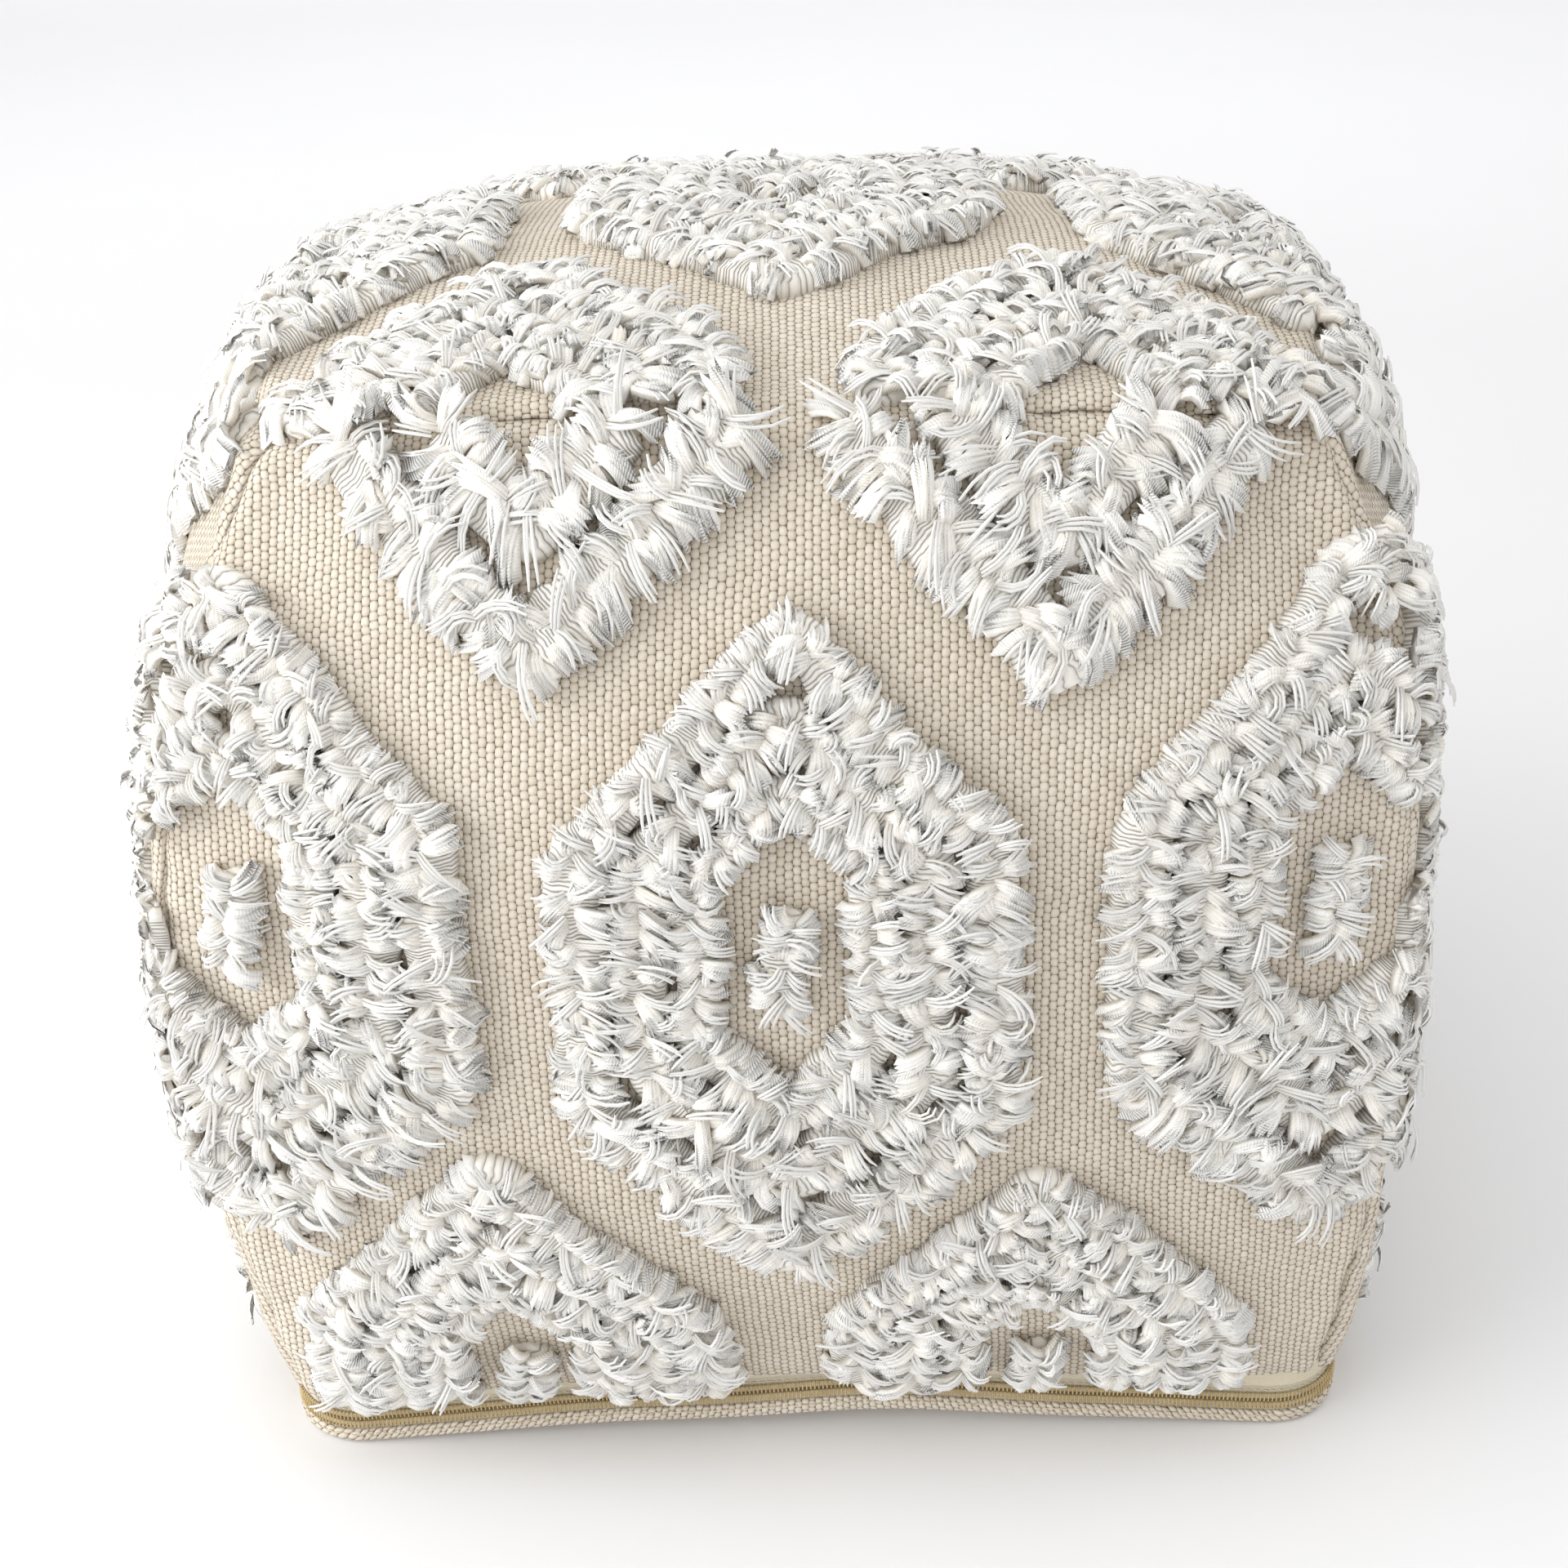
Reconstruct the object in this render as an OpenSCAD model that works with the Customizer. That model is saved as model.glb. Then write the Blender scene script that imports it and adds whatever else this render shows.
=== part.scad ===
// Stuffed-cube floor pouf: six sewn canvas panels, hexagon motifs of tufted cotton yarn,
// a zip round three sides of the base, and a lined cushion insert.
// The origin is the middle of the base on the floor, +Z up, the front towards -Y.

/* [Cushion] */
// Width across the middle of two opposite walls, canvas only
pouf_w = 456; // [430:1:560]
// Height of the canvas at the crown of the top
pouf_h = 405; // [330:1:490]
// Distance between neighbouring corner seams at mid height
seam_w = 398; // [330:1:420]
// Distance between neighbouring corner seams at the top
top_w = 324; // [270:1:390]
// How far the top seam bows outwards between two corners
top_bow = 16; // [6:1:24]
// How far the top seam rises between two corners
seam_rise = 13; // [4:1:20]
// How far the top panel domes above the middle of its seams
crown = 9; // [3:1:20]
// Thickness of the canvas
canvas = 2; // [1.5:0.1:2.5]

/* [Base] */
// Width of the base across its straight sides
base_w = 380; // [316:1:456]
// Radius of the base's corners
base_corner_r = 26; // [20:1:34]
// Height of the base panel's turned-up rim under the zip
rim_h = 5.5; // [4:0.1:6]

/* [Tufting] */
// How far the pile stands out from the canvas
pile = 12; // [8:1:18]
// How deep the yarn is stitched into the canvas
stitch_depth = 0.6; // [0.4:0.1:1]
// Width of a motif
motif_w = 148; // [122:1:180]
// Height of a motif from tip to tip
motif_h = 242; // [200:1:292]
// Bare canvas between two motifs of one row
column_gap = 24; // [16:1:32]
// Height from the shoulders of one row's motifs to the tips of the next row's
row_gap = 27; // [20:1:36]
// Width of the bare opening in a motif
opening_w = 40; // [34:1:50]
// Height of the bare opening in a motif
opening_h = 76; // [64:1:92]
// Width of the tuft in the middle of the opening
dot_w = 22; // [16:1:28]
// Height of the tuft in the middle of the opening
dot_h = 44; // [36:1:54]

/* [Zip] */
// Height of the line where the two rows of coil meet
zip_z = 10.5; // [10:0.1:12]
// Height of one row of coil
coil_w = 2.6; // [2.2:0.1:3]
// How far the coil stands out from its tape
coil_t = 1.6; // [1.2:0.1:1.8]
// Gap between the two rows of coil
coil_gap = 1.2; // [1:0.1:1.6]
// Thickness of the tape
tape_t = 1; // [0.8:0.1:1.2]
// Width of the tape that shows between the coil and the hem
tape_show = 5.3; // [4:0.1:8]
// Width of the tape that is sewn behind the canvas
tape_hidden = 5; // [3:0.5:8]
// How far forward of the rear edge the coils end
zip_end_back = 40; // [36:1:60]

/* [Slider and pull] */
// Length of the slider along the zip
slider_l = 13; // [10:0.5:15]
// Thickness of the slider's plates
slider_t = 1.2; // [1:0.1:1.4]
// Gap between the slider and what it runs over
slider_gap = 0.3; // [0.2:0.05:0.4]
// Radius of the pull's pin
pin_r = 0.7; // [0.6:0.05:0.9]
// Radial gap between the pin and its bore
pin_gap = 0.05; // [0.03:0.01:0.1]
// Length of the pull from its pin
pull_l = 24; // [18:0.5:30]
// Width of the pull
pull_w = 7; // [6:0.5:8]
// Thickness of the pull
pull_t = 1.2; // [1:0.1:1.6]

/* [Insert] */
// Gap between the cover and the insert
insert_gap = 3; // [2:0.5:6]
// Thickness of the insert's lining
lining_t = 1; // [0.8:0.1:1.5]

/* [Hidden] */
WALLS = ["front", "right", "back", "left"];
// each motif's place on its panel, in columns and rows from the middle
WALL_TUFTS = [["center", 0, 0], ["left", -1, 0], ["right", 1, 0], ["top_left", -0.5, 1],
              ["top_right", 0.5, 1], ["bottom_left", -0.5, -1], ["bottom_right", 0.5, -1]];
TOP_TUFTS = [["center", 0, 0], ["left", -1, 0], ["right", 1, 0], ["front_left", -0.5, -1],
             ["front_right", 0.5, -1], ["rear_left", -0.5, 1], ["rear_right", 0.5, 1]];
$fn = 48;

CANVAS_COLOR = [0.80, 0.75, 0.66];
YARN_COLOR = [0.94, 0.93, 0.90];
TAPE_COLOR = [0.90, 0.86, 0.76];
COIL_COLOR = [0.74, 0.64, 0.42];
METAL_COLOR = [0.78, 0.62, 0.34];

// heights of the hem, where the walls end above the zip, and of the top corners
coil_top = zip_z + coil_gap / 2 + coil_w;
hem_z = coil_top + tape_show;
top_z = pouf_h - crown - 2 * seam_rise;

// half widths of the corner seam (seam_) and of the middle of a wall (mid_), from base to top
mid_base = base_w / 2;
seam_base = mid_base - base_corner_r * (1 - sqrt(0.5));
seam_mid = seam_w / 2;
seam_top = top_w / 2;
mid_top = seam_top + top_bow;

// how sharply a wall bows: squarish with round corners at the base, a soft bow above
BOW = 2.4;
base_bow = seam_base / (mid_base - seam_base);

// columns and rows of each surface's grid, and the rings of the insert's top
COLUMNS = 10;
ROWS = 9;
TOP_RINGS = 4;

// ---- the cushion's surface ----

// half width at height t, swelling from the base value to the middle one and in again
function swell(t, base, middle, top) = t < 0.5
  ? middle + (base - middle) * pow(1 - 2 * t, 2.2)
  : middle + (top - middle) * pow(2 * t - 1, 2.6);

// 1 in the middle of a wall and 0 at its corner seams
function bow(s, power) = 1 - pow(abs(s), power);

// point of the front wall: s runs from seam to seam, t from hem to top seam,
// and grow moves the surface outwards
function wall_point(s, t, grow) =
  let (
    seam = swell(t, seam_base, seam_mid, seam_top) + grow,
    middle = swell(t, mid_base, pouf_w / 2, mid_top) + grow,
    power = BOW + (base_bow - BOW) * pow(1 - t, 12),
    top = top_z + grow + seam_rise * bow(s, BOW))
  [seam * s, -seam - (middle - seam) * bow(s, power), hem_z + (top - hem_z) * t];

// point of the top panel: s runs from left to right, r from front to rear
function top_point(s, r, grow) =
  [s * (seam_top + grow + top_bow * bow(r, BOW)),
   r * (seam_top + grow + top_bow * bow(s, BOW)),
   top_z + grow + seam_rise * (bow(s, BOW) + bow(r, BOW)) + crown * bow(s, BOW) * bow(r, BOW)];

// position of grid line i of n, closer together near the seams
function grid(i, n) = sin(90 * (2 * i / n - 1));

// two triangles of a quad whose corners run clockwise seen from outside
function quad(a, b, c, d) = [[a, b, c], [a, c, d]];

// closed skin between an inner and an outer grid of points, both (n + 1) by (m + 1). Its edge is
// split from the outer points nearer the corners, so that two panels match along their seam.
module skin(inner, outer, n, m) {
  size = (n + 1) * (m + 1);
  function at(layer, i, j) = layer * size + j * (n + 1) + i;
  function off_middle(p) = abs(p[0] - n / 2) + abs(p[1] - m / 2);
  // the grid's edge as seen from outside: along the bottom, up, back and down
  edge = concat(
    [for (i = [0:n - 1]) [i, 0]], [for (j = [0:m - 1]) [n, j]],
    [for (i = [n:-1:1]) [i, m]], [for (j = [m:-1:1]) [0, j]]);
  faces = [
    for (i = [0:n - 1]) for (j = [0:m - 1])
      each quad(at(1, i, j), at(1, i, j + 1), at(1, i + 1, j + 1), at(1, i + 1, j)),
    for (i = [0:n - 1]) for (j = [0:m - 1])
      each quad(at(0, i, j), at(0, i + 1, j), at(0, i + 1, j + 1), at(0, i, j + 1)),
    for (k = [0:len(edge) - 1])
      let (p = edge[k], q = edge[(k + 1) % len(edge)],
           outer_p = at(1, p[0], p[1]), outer_q = at(1, q[0], q[1]),
           inner_p = at(0, p[0], p[1]), inner_q = at(0, q[0], q[1]))
      each off_middle(p) > off_middle(q)
        ? quad(outer_p, outer_q, inner_q, inner_p) : quad(outer_q, inner_q, inner_p, outer_p)];
  polyhedron(concat(inner, outer), faces, convexity = 4);
}

// layer of the front wall between two distances from the canvas's outer face
module wall_layer(from, to) {
  function points(grow) =
    [for (j = [0:ROWS]) for (i = [0:COLUMNS]) wall_point(grid(i, COLUMNS), j / ROWS, grow)];
  skin(points(from), points(to), COLUMNS, ROWS);
}

// layer of the top panel between two distances from the canvas's outer face
module top_layer(from, to) {
  function points(grow) =
    [for (j = [0:COLUMNS]) for (i = [0:COLUMNS])
      top_point(grid(i, COLUMNS), grid(j, COLUMNS), grow)];
  skin(points(from), points(to), COLUMNS, COLUMNS);
}

// turns what is made for the front wall to the named wall
module at_wall(name) {
  rotate([0, 0, 90 * search([name], WALLS)[0]]) children();
}

module wall_panel(name) {
  color(CANVAS_COLOR) at_wall(name) wall_layer(-canvas, 0);
}

module top_panel() {
  color(CANVAS_COLOR) top_layer(-canvas, 0);
}

// ---- tufted motifs ----

// share of a motif's height from its middle to its shoulders
SHOULDER = 0.2;
column_pitch = motif_w + column_gap;
row_pitch = motif_h * (0.5 + SHOULDER) + row_gap;

// tall hexagon with a tip above and below
module hexagon(w, h) {
  polygon([[0, h / 2], [w / 2, SHOULDER * h], [w / 2, -SHOULDER * h],
           [0, -h / 2], [-w / 2, -SHOULDER * h], [-w / 2, SHOULDER * h]]);
}

// ring of tufted rows round a bare opening with one tuft in it
module motif(place) {
  translate([place[1] * column_pitch, place[2] * row_pitch]) {
    difference() {
      hexagon(motif_w, motif_h);
      hexagon(opening_w, opening_h);
    }
    hexagon(dot_w, dot_h);
  }
}

module wall_tuft(name, place) {
  color(YARN_COLOR) at_wall(name) intersection() {
    wall_layer(-stitch_depth, pile);
    translate([0, 0, hem_z + row_pitch]) rotate([90, 0, 0]) linear_extrude(pouf_w) motif(place);
  }
}

module top_tuft(place) {
  color(YARN_COLOR) intersection() {
    top_layer(-stitch_depth, pile);
    linear_extrude(pouf_h + 2 * pile) motif(place);
  }
}

// ---- base and zip ----

// how far the tape lies inside the base's outline, and how far it is sewn into the canvas
TAPE_SEWN = 0.4;
tape_in = canvas - TAPE_SEWN;
zip_end_y = mid_base - zip_end_back;
STOP_L = 3;
TAPE_TAIL = 10;
tape_end_y = zip_end_y + TAPE_TAIL;

// square with round corners
module rounded_square(w, r) {
  for (x = [-1, 1]) for (y = [-1, 1]) translate([x * (w / 2 - r), y * (w / 2 - r)]) circle(r);
  square([w, w - 2 * r], center = true);
  square([w - 2 * r, w], center = true);
}

// wall round the base's outline, between two distances inside it and two heights
module base_ring(from, to, low, high) {
  translate([0, 0, low]) linear_extrude(high - low) difference() {
    rounded_square(base_w - 2 * from, base_corner_r - from);
    rounded_square(base_w - 2 * to, base_corner_r - to);
  }
}

// what lies in front of the height of the given y, and behind it
module in_front_of(y) {
  translate([-base_w, -base_w, 0]) cube([2 * base_w, base_w + y, pouf_h]);
}
module behind(y) {
  translate([-base_w, y, 0]) cube([2 * base_w, base_w, pouf_h]);
}

// canvas tray: a floor with its edge turned up to the zip, and higher along the rear seam
module base_panel() {
  color(CANVAS_COLOR) {
    linear_extrude(canvas) rounded_square(base_w, base_corner_r);
    base_ring(0, canvas, 0, rim_h);
    intersection() {
      base_ring(0, canvas, 0, hem_z);
      behind(tape_end_y);
    }
  }
}

// strip of the zip along the left, front and right of the base
module zip_strip(from, to, low, high, end_y) {
  intersection() {
    base_ring(from, to, low, high);
    in_front_of(end_y);
  }
}

module zip_upper_tape() {
  color(TAPE_COLOR)
    zip_strip(tape_in, tape_in + tape_t, zip_z + coil_gap / 2, hem_z + tape_hidden, tape_end_y);
}

module zip_lower_tape() {
  color(TAPE_COLOR)
    zip_strip(tape_in, tape_in + tape_t, canvas, zip_z - coil_gap / 2, tape_end_y);
}

module zip_upper_coil() {
  color(COIL_COLOR) zip_strip(tape_in - coil_t, tape_in, zip_z + coil_gap / 2,
    zip_z + coil_gap / 2 + coil_w, zip_end_y - STOP_L);
}

module zip_lower_coil() {
  color(COIL_COLOR) zip_strip(tape_in - coil_t, tape_in, zip_z - coil_gap / 2 - coil_w,
    zip_z - coil_gap / 2, zip_end_y - STOP_L);
}

// clip closed round the edge of a tape at the end of its coil, on the left (-1) or right (1)
module stop_clip(side, low, high) {
  face = tape_in - coil_t;
  back = tape_in + tape_t + 0.5;
  translate([side < 0 ? -mid_base + face : mid_base - back, zip_end_y - STOP_L, low])
    cube([back - face, STOP_L, high - low]);
}

module zip_top_stops() {
  color(METAL_COLOR) {
    stop_clip(-1, zip_z + coil_gap / 2, zip_z + coil_gap / 2 + coil_w);
    stop_clip(-1, zip_z - coil_gap / 2 - coil_w, zip_z - coil_gap / 2);
  }
}

module zip_bottom_stop() {
  color(METAL_COLOR) stop_clip(1, zip_z - coil_gap / 2 - coil_w, zip_z + coil_gap / 2 + coil_w);
}

// ---- slider and pull ----
// Both are drawn with X along the travel, Y up and Z outwards from the coil's face.

STOP_GAP = 0.5;
slider_y = zip_end_y - STOP_L - STOP_GAP - slider_l / 2;
coil_face = mid_base - tape_in + coil_t;
FLANGE_T = 1;
slider_half_w = coil_gap / 2 + coil_w + slider_gap + FLANGE_T;
slider_face = slider_gap + slider_t;
slider_back = coil_t + tape_t + slider_gap;
EYE_WALL = 1.05;
EYE_L = 2.2;
ARM_GAP = 0.3;
ARM_W = 1.3;
eye_r = pin_r + pin_gap + EYE_WALL;
// the pin stands clear of the outer plate by its arms' radius and the running gap
arm_r = pin_r + 0.5;
pin_z = slider_face + slider_gap + arm_r;

// places what is drawn on the coil's face at the slider's rest, near the rear of the left side
module at_slider() {
  translate([-coil_face, slider_y, zip_z]) rotate([90, 0, -90]) children();
}

// plate with round ends, lying in X and Y
module rounded_plate(l, w, r, low, high) {
  translate([0, 0, low]) linear_extrude(high - low) {
    for (x = [-1, 1]) for (y = [-1, 1]) translate([x * (l / 2 - r), y * (w / 2 - r)]) circle(r);
    square([l, w - 2 * r], center = true);
    square([l - 2 * r, w], center = true);
  }
}

// two plates joined by a wedge between the coils, with an eye for the pull on the outer one
module zip_slider() {
  WEDGE_L = 5;
  CORNER = 1.5;
  flange_z = coil_t - slider_gap;
  color(METAL_COLOR) at_slider() {
    rounded_plate(slider_l, 2 * slider_half_w, CORNER, slider_gap, slider_face);
    rounded_plate(slider_l, 2 * slider_half_w, CORNER, -slider_back - slider_t, -slider_back);
    // wedge
    translate([-slider_l / 2 + 1, -coil_gap / 2 + slider_gap, -slider_back])
      cube([WEDGE_L, coil_gap - 2 * slider_gap, slider_back + slider_gap]);
    // flanges that hold the coils in, one above and one below
    for (side = [-1, 1])
      translate([0, side * (slider_half_w - FLANGE_T / 2), (slider_gap - flange_z) / 2])
        cube([slider_l - 2 * CORNER, FLANGE_T, slider_gap + flange_z], center = true);
    // eye
    difference() {
      union() {
        translate([0, 0, pin_z]) rotate([90, 0, 0]) cylinder(h = EYE_L, r = eye_r, center = true);
        translate([-eye_r, -EYE_L / 2, slider_gap]) cube([2 * eye_r, EYE_L, pin_z - slider_gap]);
      }
      translate([0, 0, pin_z]) rotate([90, 0, 0])
        cylinder(h = 2 * EYE_L, r = pin_r + pin_gap, center = true);
    }
  }
}

// tab held on a pin by two arms, one each side of the slider's eye
module zip_pull() {
  arm_y = EYE_L / 2 + ARM_GAP;
  pin_l = 2 * (arm_y + ARM_W);
  arm_l = eye_r + 1;
  NECK = 2;
  HOLE_R = 1.6;
  color(METAL_COLOR) at_slider() translate([0, 0, pin_z]) {
    rotate([90, 0, 0]) cylinder(h = pin_l, r = pin_r, center = true);
    for (side = [-1, 1]) {
      translate([0, side * (arm_y + ARM_W / 2), 0]) rotate([90, 0, 0])
        cylinder(h = ARM_W, r = arm_r, center = true);
      translate([0, side > 0 ? arm_y : -arm_y - ARM_W, -pull_t / 2])
        cube([arm_l + NECK, ARM_W, pull_t]);
    }
    difference() {
      translate([0, 0, -pull_t / 2]) linear_extrude(pull_t) {
        translate([arm_l, -pin_l / 2]) square([NECK, pin_l]);
        translate([arm_l + NECK, -pull_w / 2]) square([pull_l - pull_w / 2 - arm_l - NECK, pull_w]);
        translate([pull_l - pull_w / 2, 0]) circle(pull_w / 2);
      }
      translate([pull_l - pull_w / 2, 0, 0]) cylinder(h = 2 * pull_t, r = HOLE_R, center = true);
    }
  }
}

// ---- insert ----

// closed cushion inside the cover, its surface moved by grow from the canvas's outer face and its flat
// underside at the height low. It fills out to the walls only above the zip's tape.
module cushion(grow, low) {
  UNDERSIDE_IN = 4;
  function ring(row) = [for (k = [0:3]) for (i = [0:COLUMNS - 1])
    let (p = row[i], a = 90 * k) [p[0] * cos(a) - p[1] * sin(a), p[0] * sin(a) + p[1] * cos(a), p[2]]];
  function low_point(s, grow, z) = let (p = wall_point(s, 0, grow)) [p[0], p[1], z];
  sides = [for (i = [0:COLUMNS - 1]) grid(i, COLUMNS)];
  rings = concat(
    [ring([for (s = sides) low_point(s, grow - UNDERSIDE_IN, low)])],
    [ring([for (s = sides) low_point(s, grow, hem_z + tape_hidden)])],
    [for (j = [1:ROWS]) ring([for (s = sides) wall_point(s, j / ROWS, grow)])],
    [for (k = [TOP_RINGS - 1:-1:1])
      let (q = k / TOP_RINGS) ring([for (s = sides) top_point(s * q, -q, grow)])]);
  n = 4 * COLUMNS;
  last = len(rings) - 1;
  bottom = n * len(rings);
  points = concat([for (r = rings) each r], [[0, 0, low], top_point(0, 0, grow)]);
  faces = [
    for (i = [0:n - 1]) [bottom, i, (i + 1) % n],
    for (j = [0:last - 1]) for (i = [0:n - 1])
      each quad(j * n + i, (j + 1) * n + i, (j + 1) * n + (i + 1) % n, j * n + (i + 1) % n),
    for (i = [0:n - 1]) [last * n + i, bottom + 1, last * n + (i + 1) % n]];
  polyhedron(points, faces, convexity = 4);
}

insert_in = canvas + insert_gap;

module insert_lining() {
  color([0.93, 0.93, 0.91]) difference() {
    cushion(-insert_in, canvas);
    cushion(-insert_in - lining_t, canvas + lining_t);
  }
}

module insert_filling() {
  color([0.97, 0.97, 0.96]) cushion(-insert_in - lining_t, canvas + lining_t);
}

for (wall = WALLS) wall_panel(wall);
top_panel();
base_panel();
for (wall = WALLS) for (place = WALL_TUFTS)
  wall_tuft(wall, place);
for (place = TOP_TUFTS) top_tuft(place);
zip_upper_tape();
zip_lower_tape();
zip_upper_coil();
zip_lower_coil();
zip_top_stops();
zip_bottom_stop();
zip_slider();
zip_pull();
insert_lining();
insert_filling();
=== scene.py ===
"""A stuffed-cube floor pouf: a canvas cover with hexagon motifs of tufted cotton yarn, a zip round
three sides of its base, and a lined cushion inside. Lengths are in metres, the front is towards -Y."""
import math

import bpy
import numpy as np
from mathutils import Matrix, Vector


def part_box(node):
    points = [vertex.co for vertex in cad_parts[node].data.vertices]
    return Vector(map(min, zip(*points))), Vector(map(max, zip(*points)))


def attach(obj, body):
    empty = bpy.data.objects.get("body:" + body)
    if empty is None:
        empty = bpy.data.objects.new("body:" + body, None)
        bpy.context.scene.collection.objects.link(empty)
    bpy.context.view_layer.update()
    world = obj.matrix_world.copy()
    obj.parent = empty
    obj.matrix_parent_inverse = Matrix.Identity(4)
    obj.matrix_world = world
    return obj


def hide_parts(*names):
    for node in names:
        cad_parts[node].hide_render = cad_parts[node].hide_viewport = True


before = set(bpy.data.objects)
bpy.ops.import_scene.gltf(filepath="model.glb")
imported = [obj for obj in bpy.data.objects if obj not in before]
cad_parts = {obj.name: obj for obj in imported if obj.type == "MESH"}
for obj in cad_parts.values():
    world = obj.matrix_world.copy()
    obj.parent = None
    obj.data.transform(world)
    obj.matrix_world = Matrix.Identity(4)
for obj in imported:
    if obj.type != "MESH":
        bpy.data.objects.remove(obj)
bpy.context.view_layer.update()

# ---- sizes, read from the CAD nodes' boxes ----


def corners_of(node):
    """The low and high corners of a CAD node's box."""
    return (np.array(corner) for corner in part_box(node))


front_low, front_high = corners_of("front_panel")
base_low, base_high = corners_of("base_panel")
_, top_high = corners_of("top_panel")
motif_low, motif_high = corners_of("front_tuft_center")
upper_coil_low, upper_coil_high = corners_of("zip_upper_coil")
lower_coil_low, lower_coil_high = corners_of("zip_lower_coil")
_, tape_high = corners_of("zip_upper_tape")
side_motif_low, _ = corners_of("front_tuft_right")
_, low_motif_high = corners_of("front_tuft_bottom_left")

MM = 0.001
HEM = front_low[2]
MID_BASE = base_high[0]
MID_WALL = -front_low[1]
MID_TOP = top_high[0]
SEAM_WALL = front_high[0]
CORNER_R = 26 * MM
TOP_BOW = 16 * MM
SEAM_RISE = 13 * MM
CROWN = 9 * MM
TOP_Z = top_high[2] - CROWN - 2 * SEAM_RISE
SEAM_BASE = MID_BASE - CORNER_R * (1 - math.sqrt(0.5))
SEAM_TOP = MID_TOP - TOP_BOW
BOW = 2.4
BASE_BOW = SEAM_BASE / (MID_BASE - SEAM_BASE)

MOTIF_W = motif_high[0] - motif_low[0]
MOTIF_H = motif_high[2] - motif_low[2]
ROW_MIDDLE = (motif_high[2] + motif_low[2]) / 2
COLUMN_PITCH = side_motif_low[0] + MOTIF_W / 2
ROW_PITCH = ROW_MIDDLE - (low_motif_high[2] - MOTIF_H / 2)
SHOULDER = 0.2
DOT_W, DOT_H = 22 * MM, 44 * MM

TAPE_IN = MID_BASE - tape_high[0]
TAPE_T = 1 * MM
COIL_T = 1.6 * MM
ZIP_END_Y = upper_coil_high[1]
TAPE_END_Y = tape_high[1]

# ---- meshes from whole arrays ----


def grid_faces(rows, columns, around=False, start=0):
    """Quads of a grid of rows by columns of points, the last column joined to the first if around."""
    i, j = np.meshgrid(np.arange(rows - 1), np.arange(columns if around else columns - 1), indexing="ij")
    k = (j + 1) % columns
    quads = np.stack([i * columns + j, i * columns + k, (i + 1) * columns + k, (i + 1) * columns + j], -1)
    return start + quads.reshape(-1, 4)


def make_piece(name, points, face_sets, materials, body="cover", uv=None, shade=None, soft=None,
               stands_for=()):
    """A smooth mesh from points and sets of faces. Each set takes the material at its own place in the
    list. uv is a pair and shade a number for each point, and soft is the shading normals of the last
    points, for fibres that scatter light from their neighbours."""
    points = np.asarray(points, float).reshape(-1, 3)
    face_sets = [np.asarray(faces) for faces in face_sets]
    corners = np.concatenate([faces.ravel() for faces in face_sets])
    sides = np.concatenate([np.full(len(faces), faces.shape[1]) for faces in face_sets])
    mesh = bpy.data.meshes.new(name)
    mesh.vertices.add(len(points))
    mesh.vertices.foreach_set("co", points.ravel())
    mesh.loops.add(len(corners))
    mesh.loops.foreach_set("vertex_index", corners)
    mesh.polygons.add(len(sides))
    mesh.polygons.foreach_set("loop_start", np.concatenate([[0], np.cumsum(sides)[:-1]]))
    mesh.polygons.foreach_set("use_smooth", np.ones(len(sides), bool))
    kinds = [min(k, len(materials) - 1) for k in range(len(face_sets))]
    mesh.polygons.foreach_set(
        "material_index", np.concatenate([np.full(len(f), k) for f, k in zip(face_sets, kinds)]))
    if uv is not None:
        layer = mesh.uv_layers.new(name="cloth")
        layer.data.foreach_set("uv", np.asarray(uv, float).reshape(-1, 2)[corners].ravel())
    if shade is not None:
        mesh.attributes.new("shade", "FLOAT", "POINT").data.foreach_set("value", np.ravel(shade))
    mesh.update(calc_edges=True)
    mesh.validate()
    if soft is not None:
        normals = np.empty(len(points) * 3)
        mesh.vertex_normals.foreach_get("vector", normals)
        normals = normals.reshape(-1, 3)
        normals[-len(soft):] = soft
        mesh.normals_split_custom_set_from_vertices(normals)
    for material in materials:
        mesh.materials.append(material)
    piece = bpy.data.objects.new(name, mesh)
    bpy.context.collection.objects.link(piece)
    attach(piece, body)
    if stands_for:
        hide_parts(*stands_for)
    return piece


def unit(v):
    """Each vector at length one."""
    return v / np.maximum(np.linalg.norm(v, axis=-1, keepdims=True), 1e-12)


def read_along(at, along, values):
    """The columns of values, which are given at the lengths along, read at the lengths at."""
    return np.stack([np.interp(at, along, column) for column in values.T], -1)


def ripple(x, y, size, seed, waves=10):
    """Smooth uneven height from -1 to 1: a sum of sine waves in random directions, each about size long."""
    draw = np.random.default_rng(seed)
    total = 0.0
    for _ in range(waves):
        angle, phase = draw.uniform(0, math.tau), draw.uniform(0, math.tau)
        length = size * draw.uniform(0.7, 1.6)
        total = total + np.sin((x * math.cos(angle) + y * math.sin(angle)) * math.tau / length + phase)
    return total / math.sqrt(waves) / 1.5


# ---- the cushion's surface ----


def swell(t, base, middle, top):
    """Half width at height t: the middle value, falling to the base one below and the top one above."""
    below = middle + (base - middle) * np.abs(1 - 2 * t) ** 2.2
    above = middle + (top - middle) * np.abs(2 * t - 1) ** 2.6
    return np.where(t < 0.5, below, above)


def bow(s, power=BOW):
    """1 in the middle of a panel and 0 at its seams."""
    return 1 - np.abs(s) ** power


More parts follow.
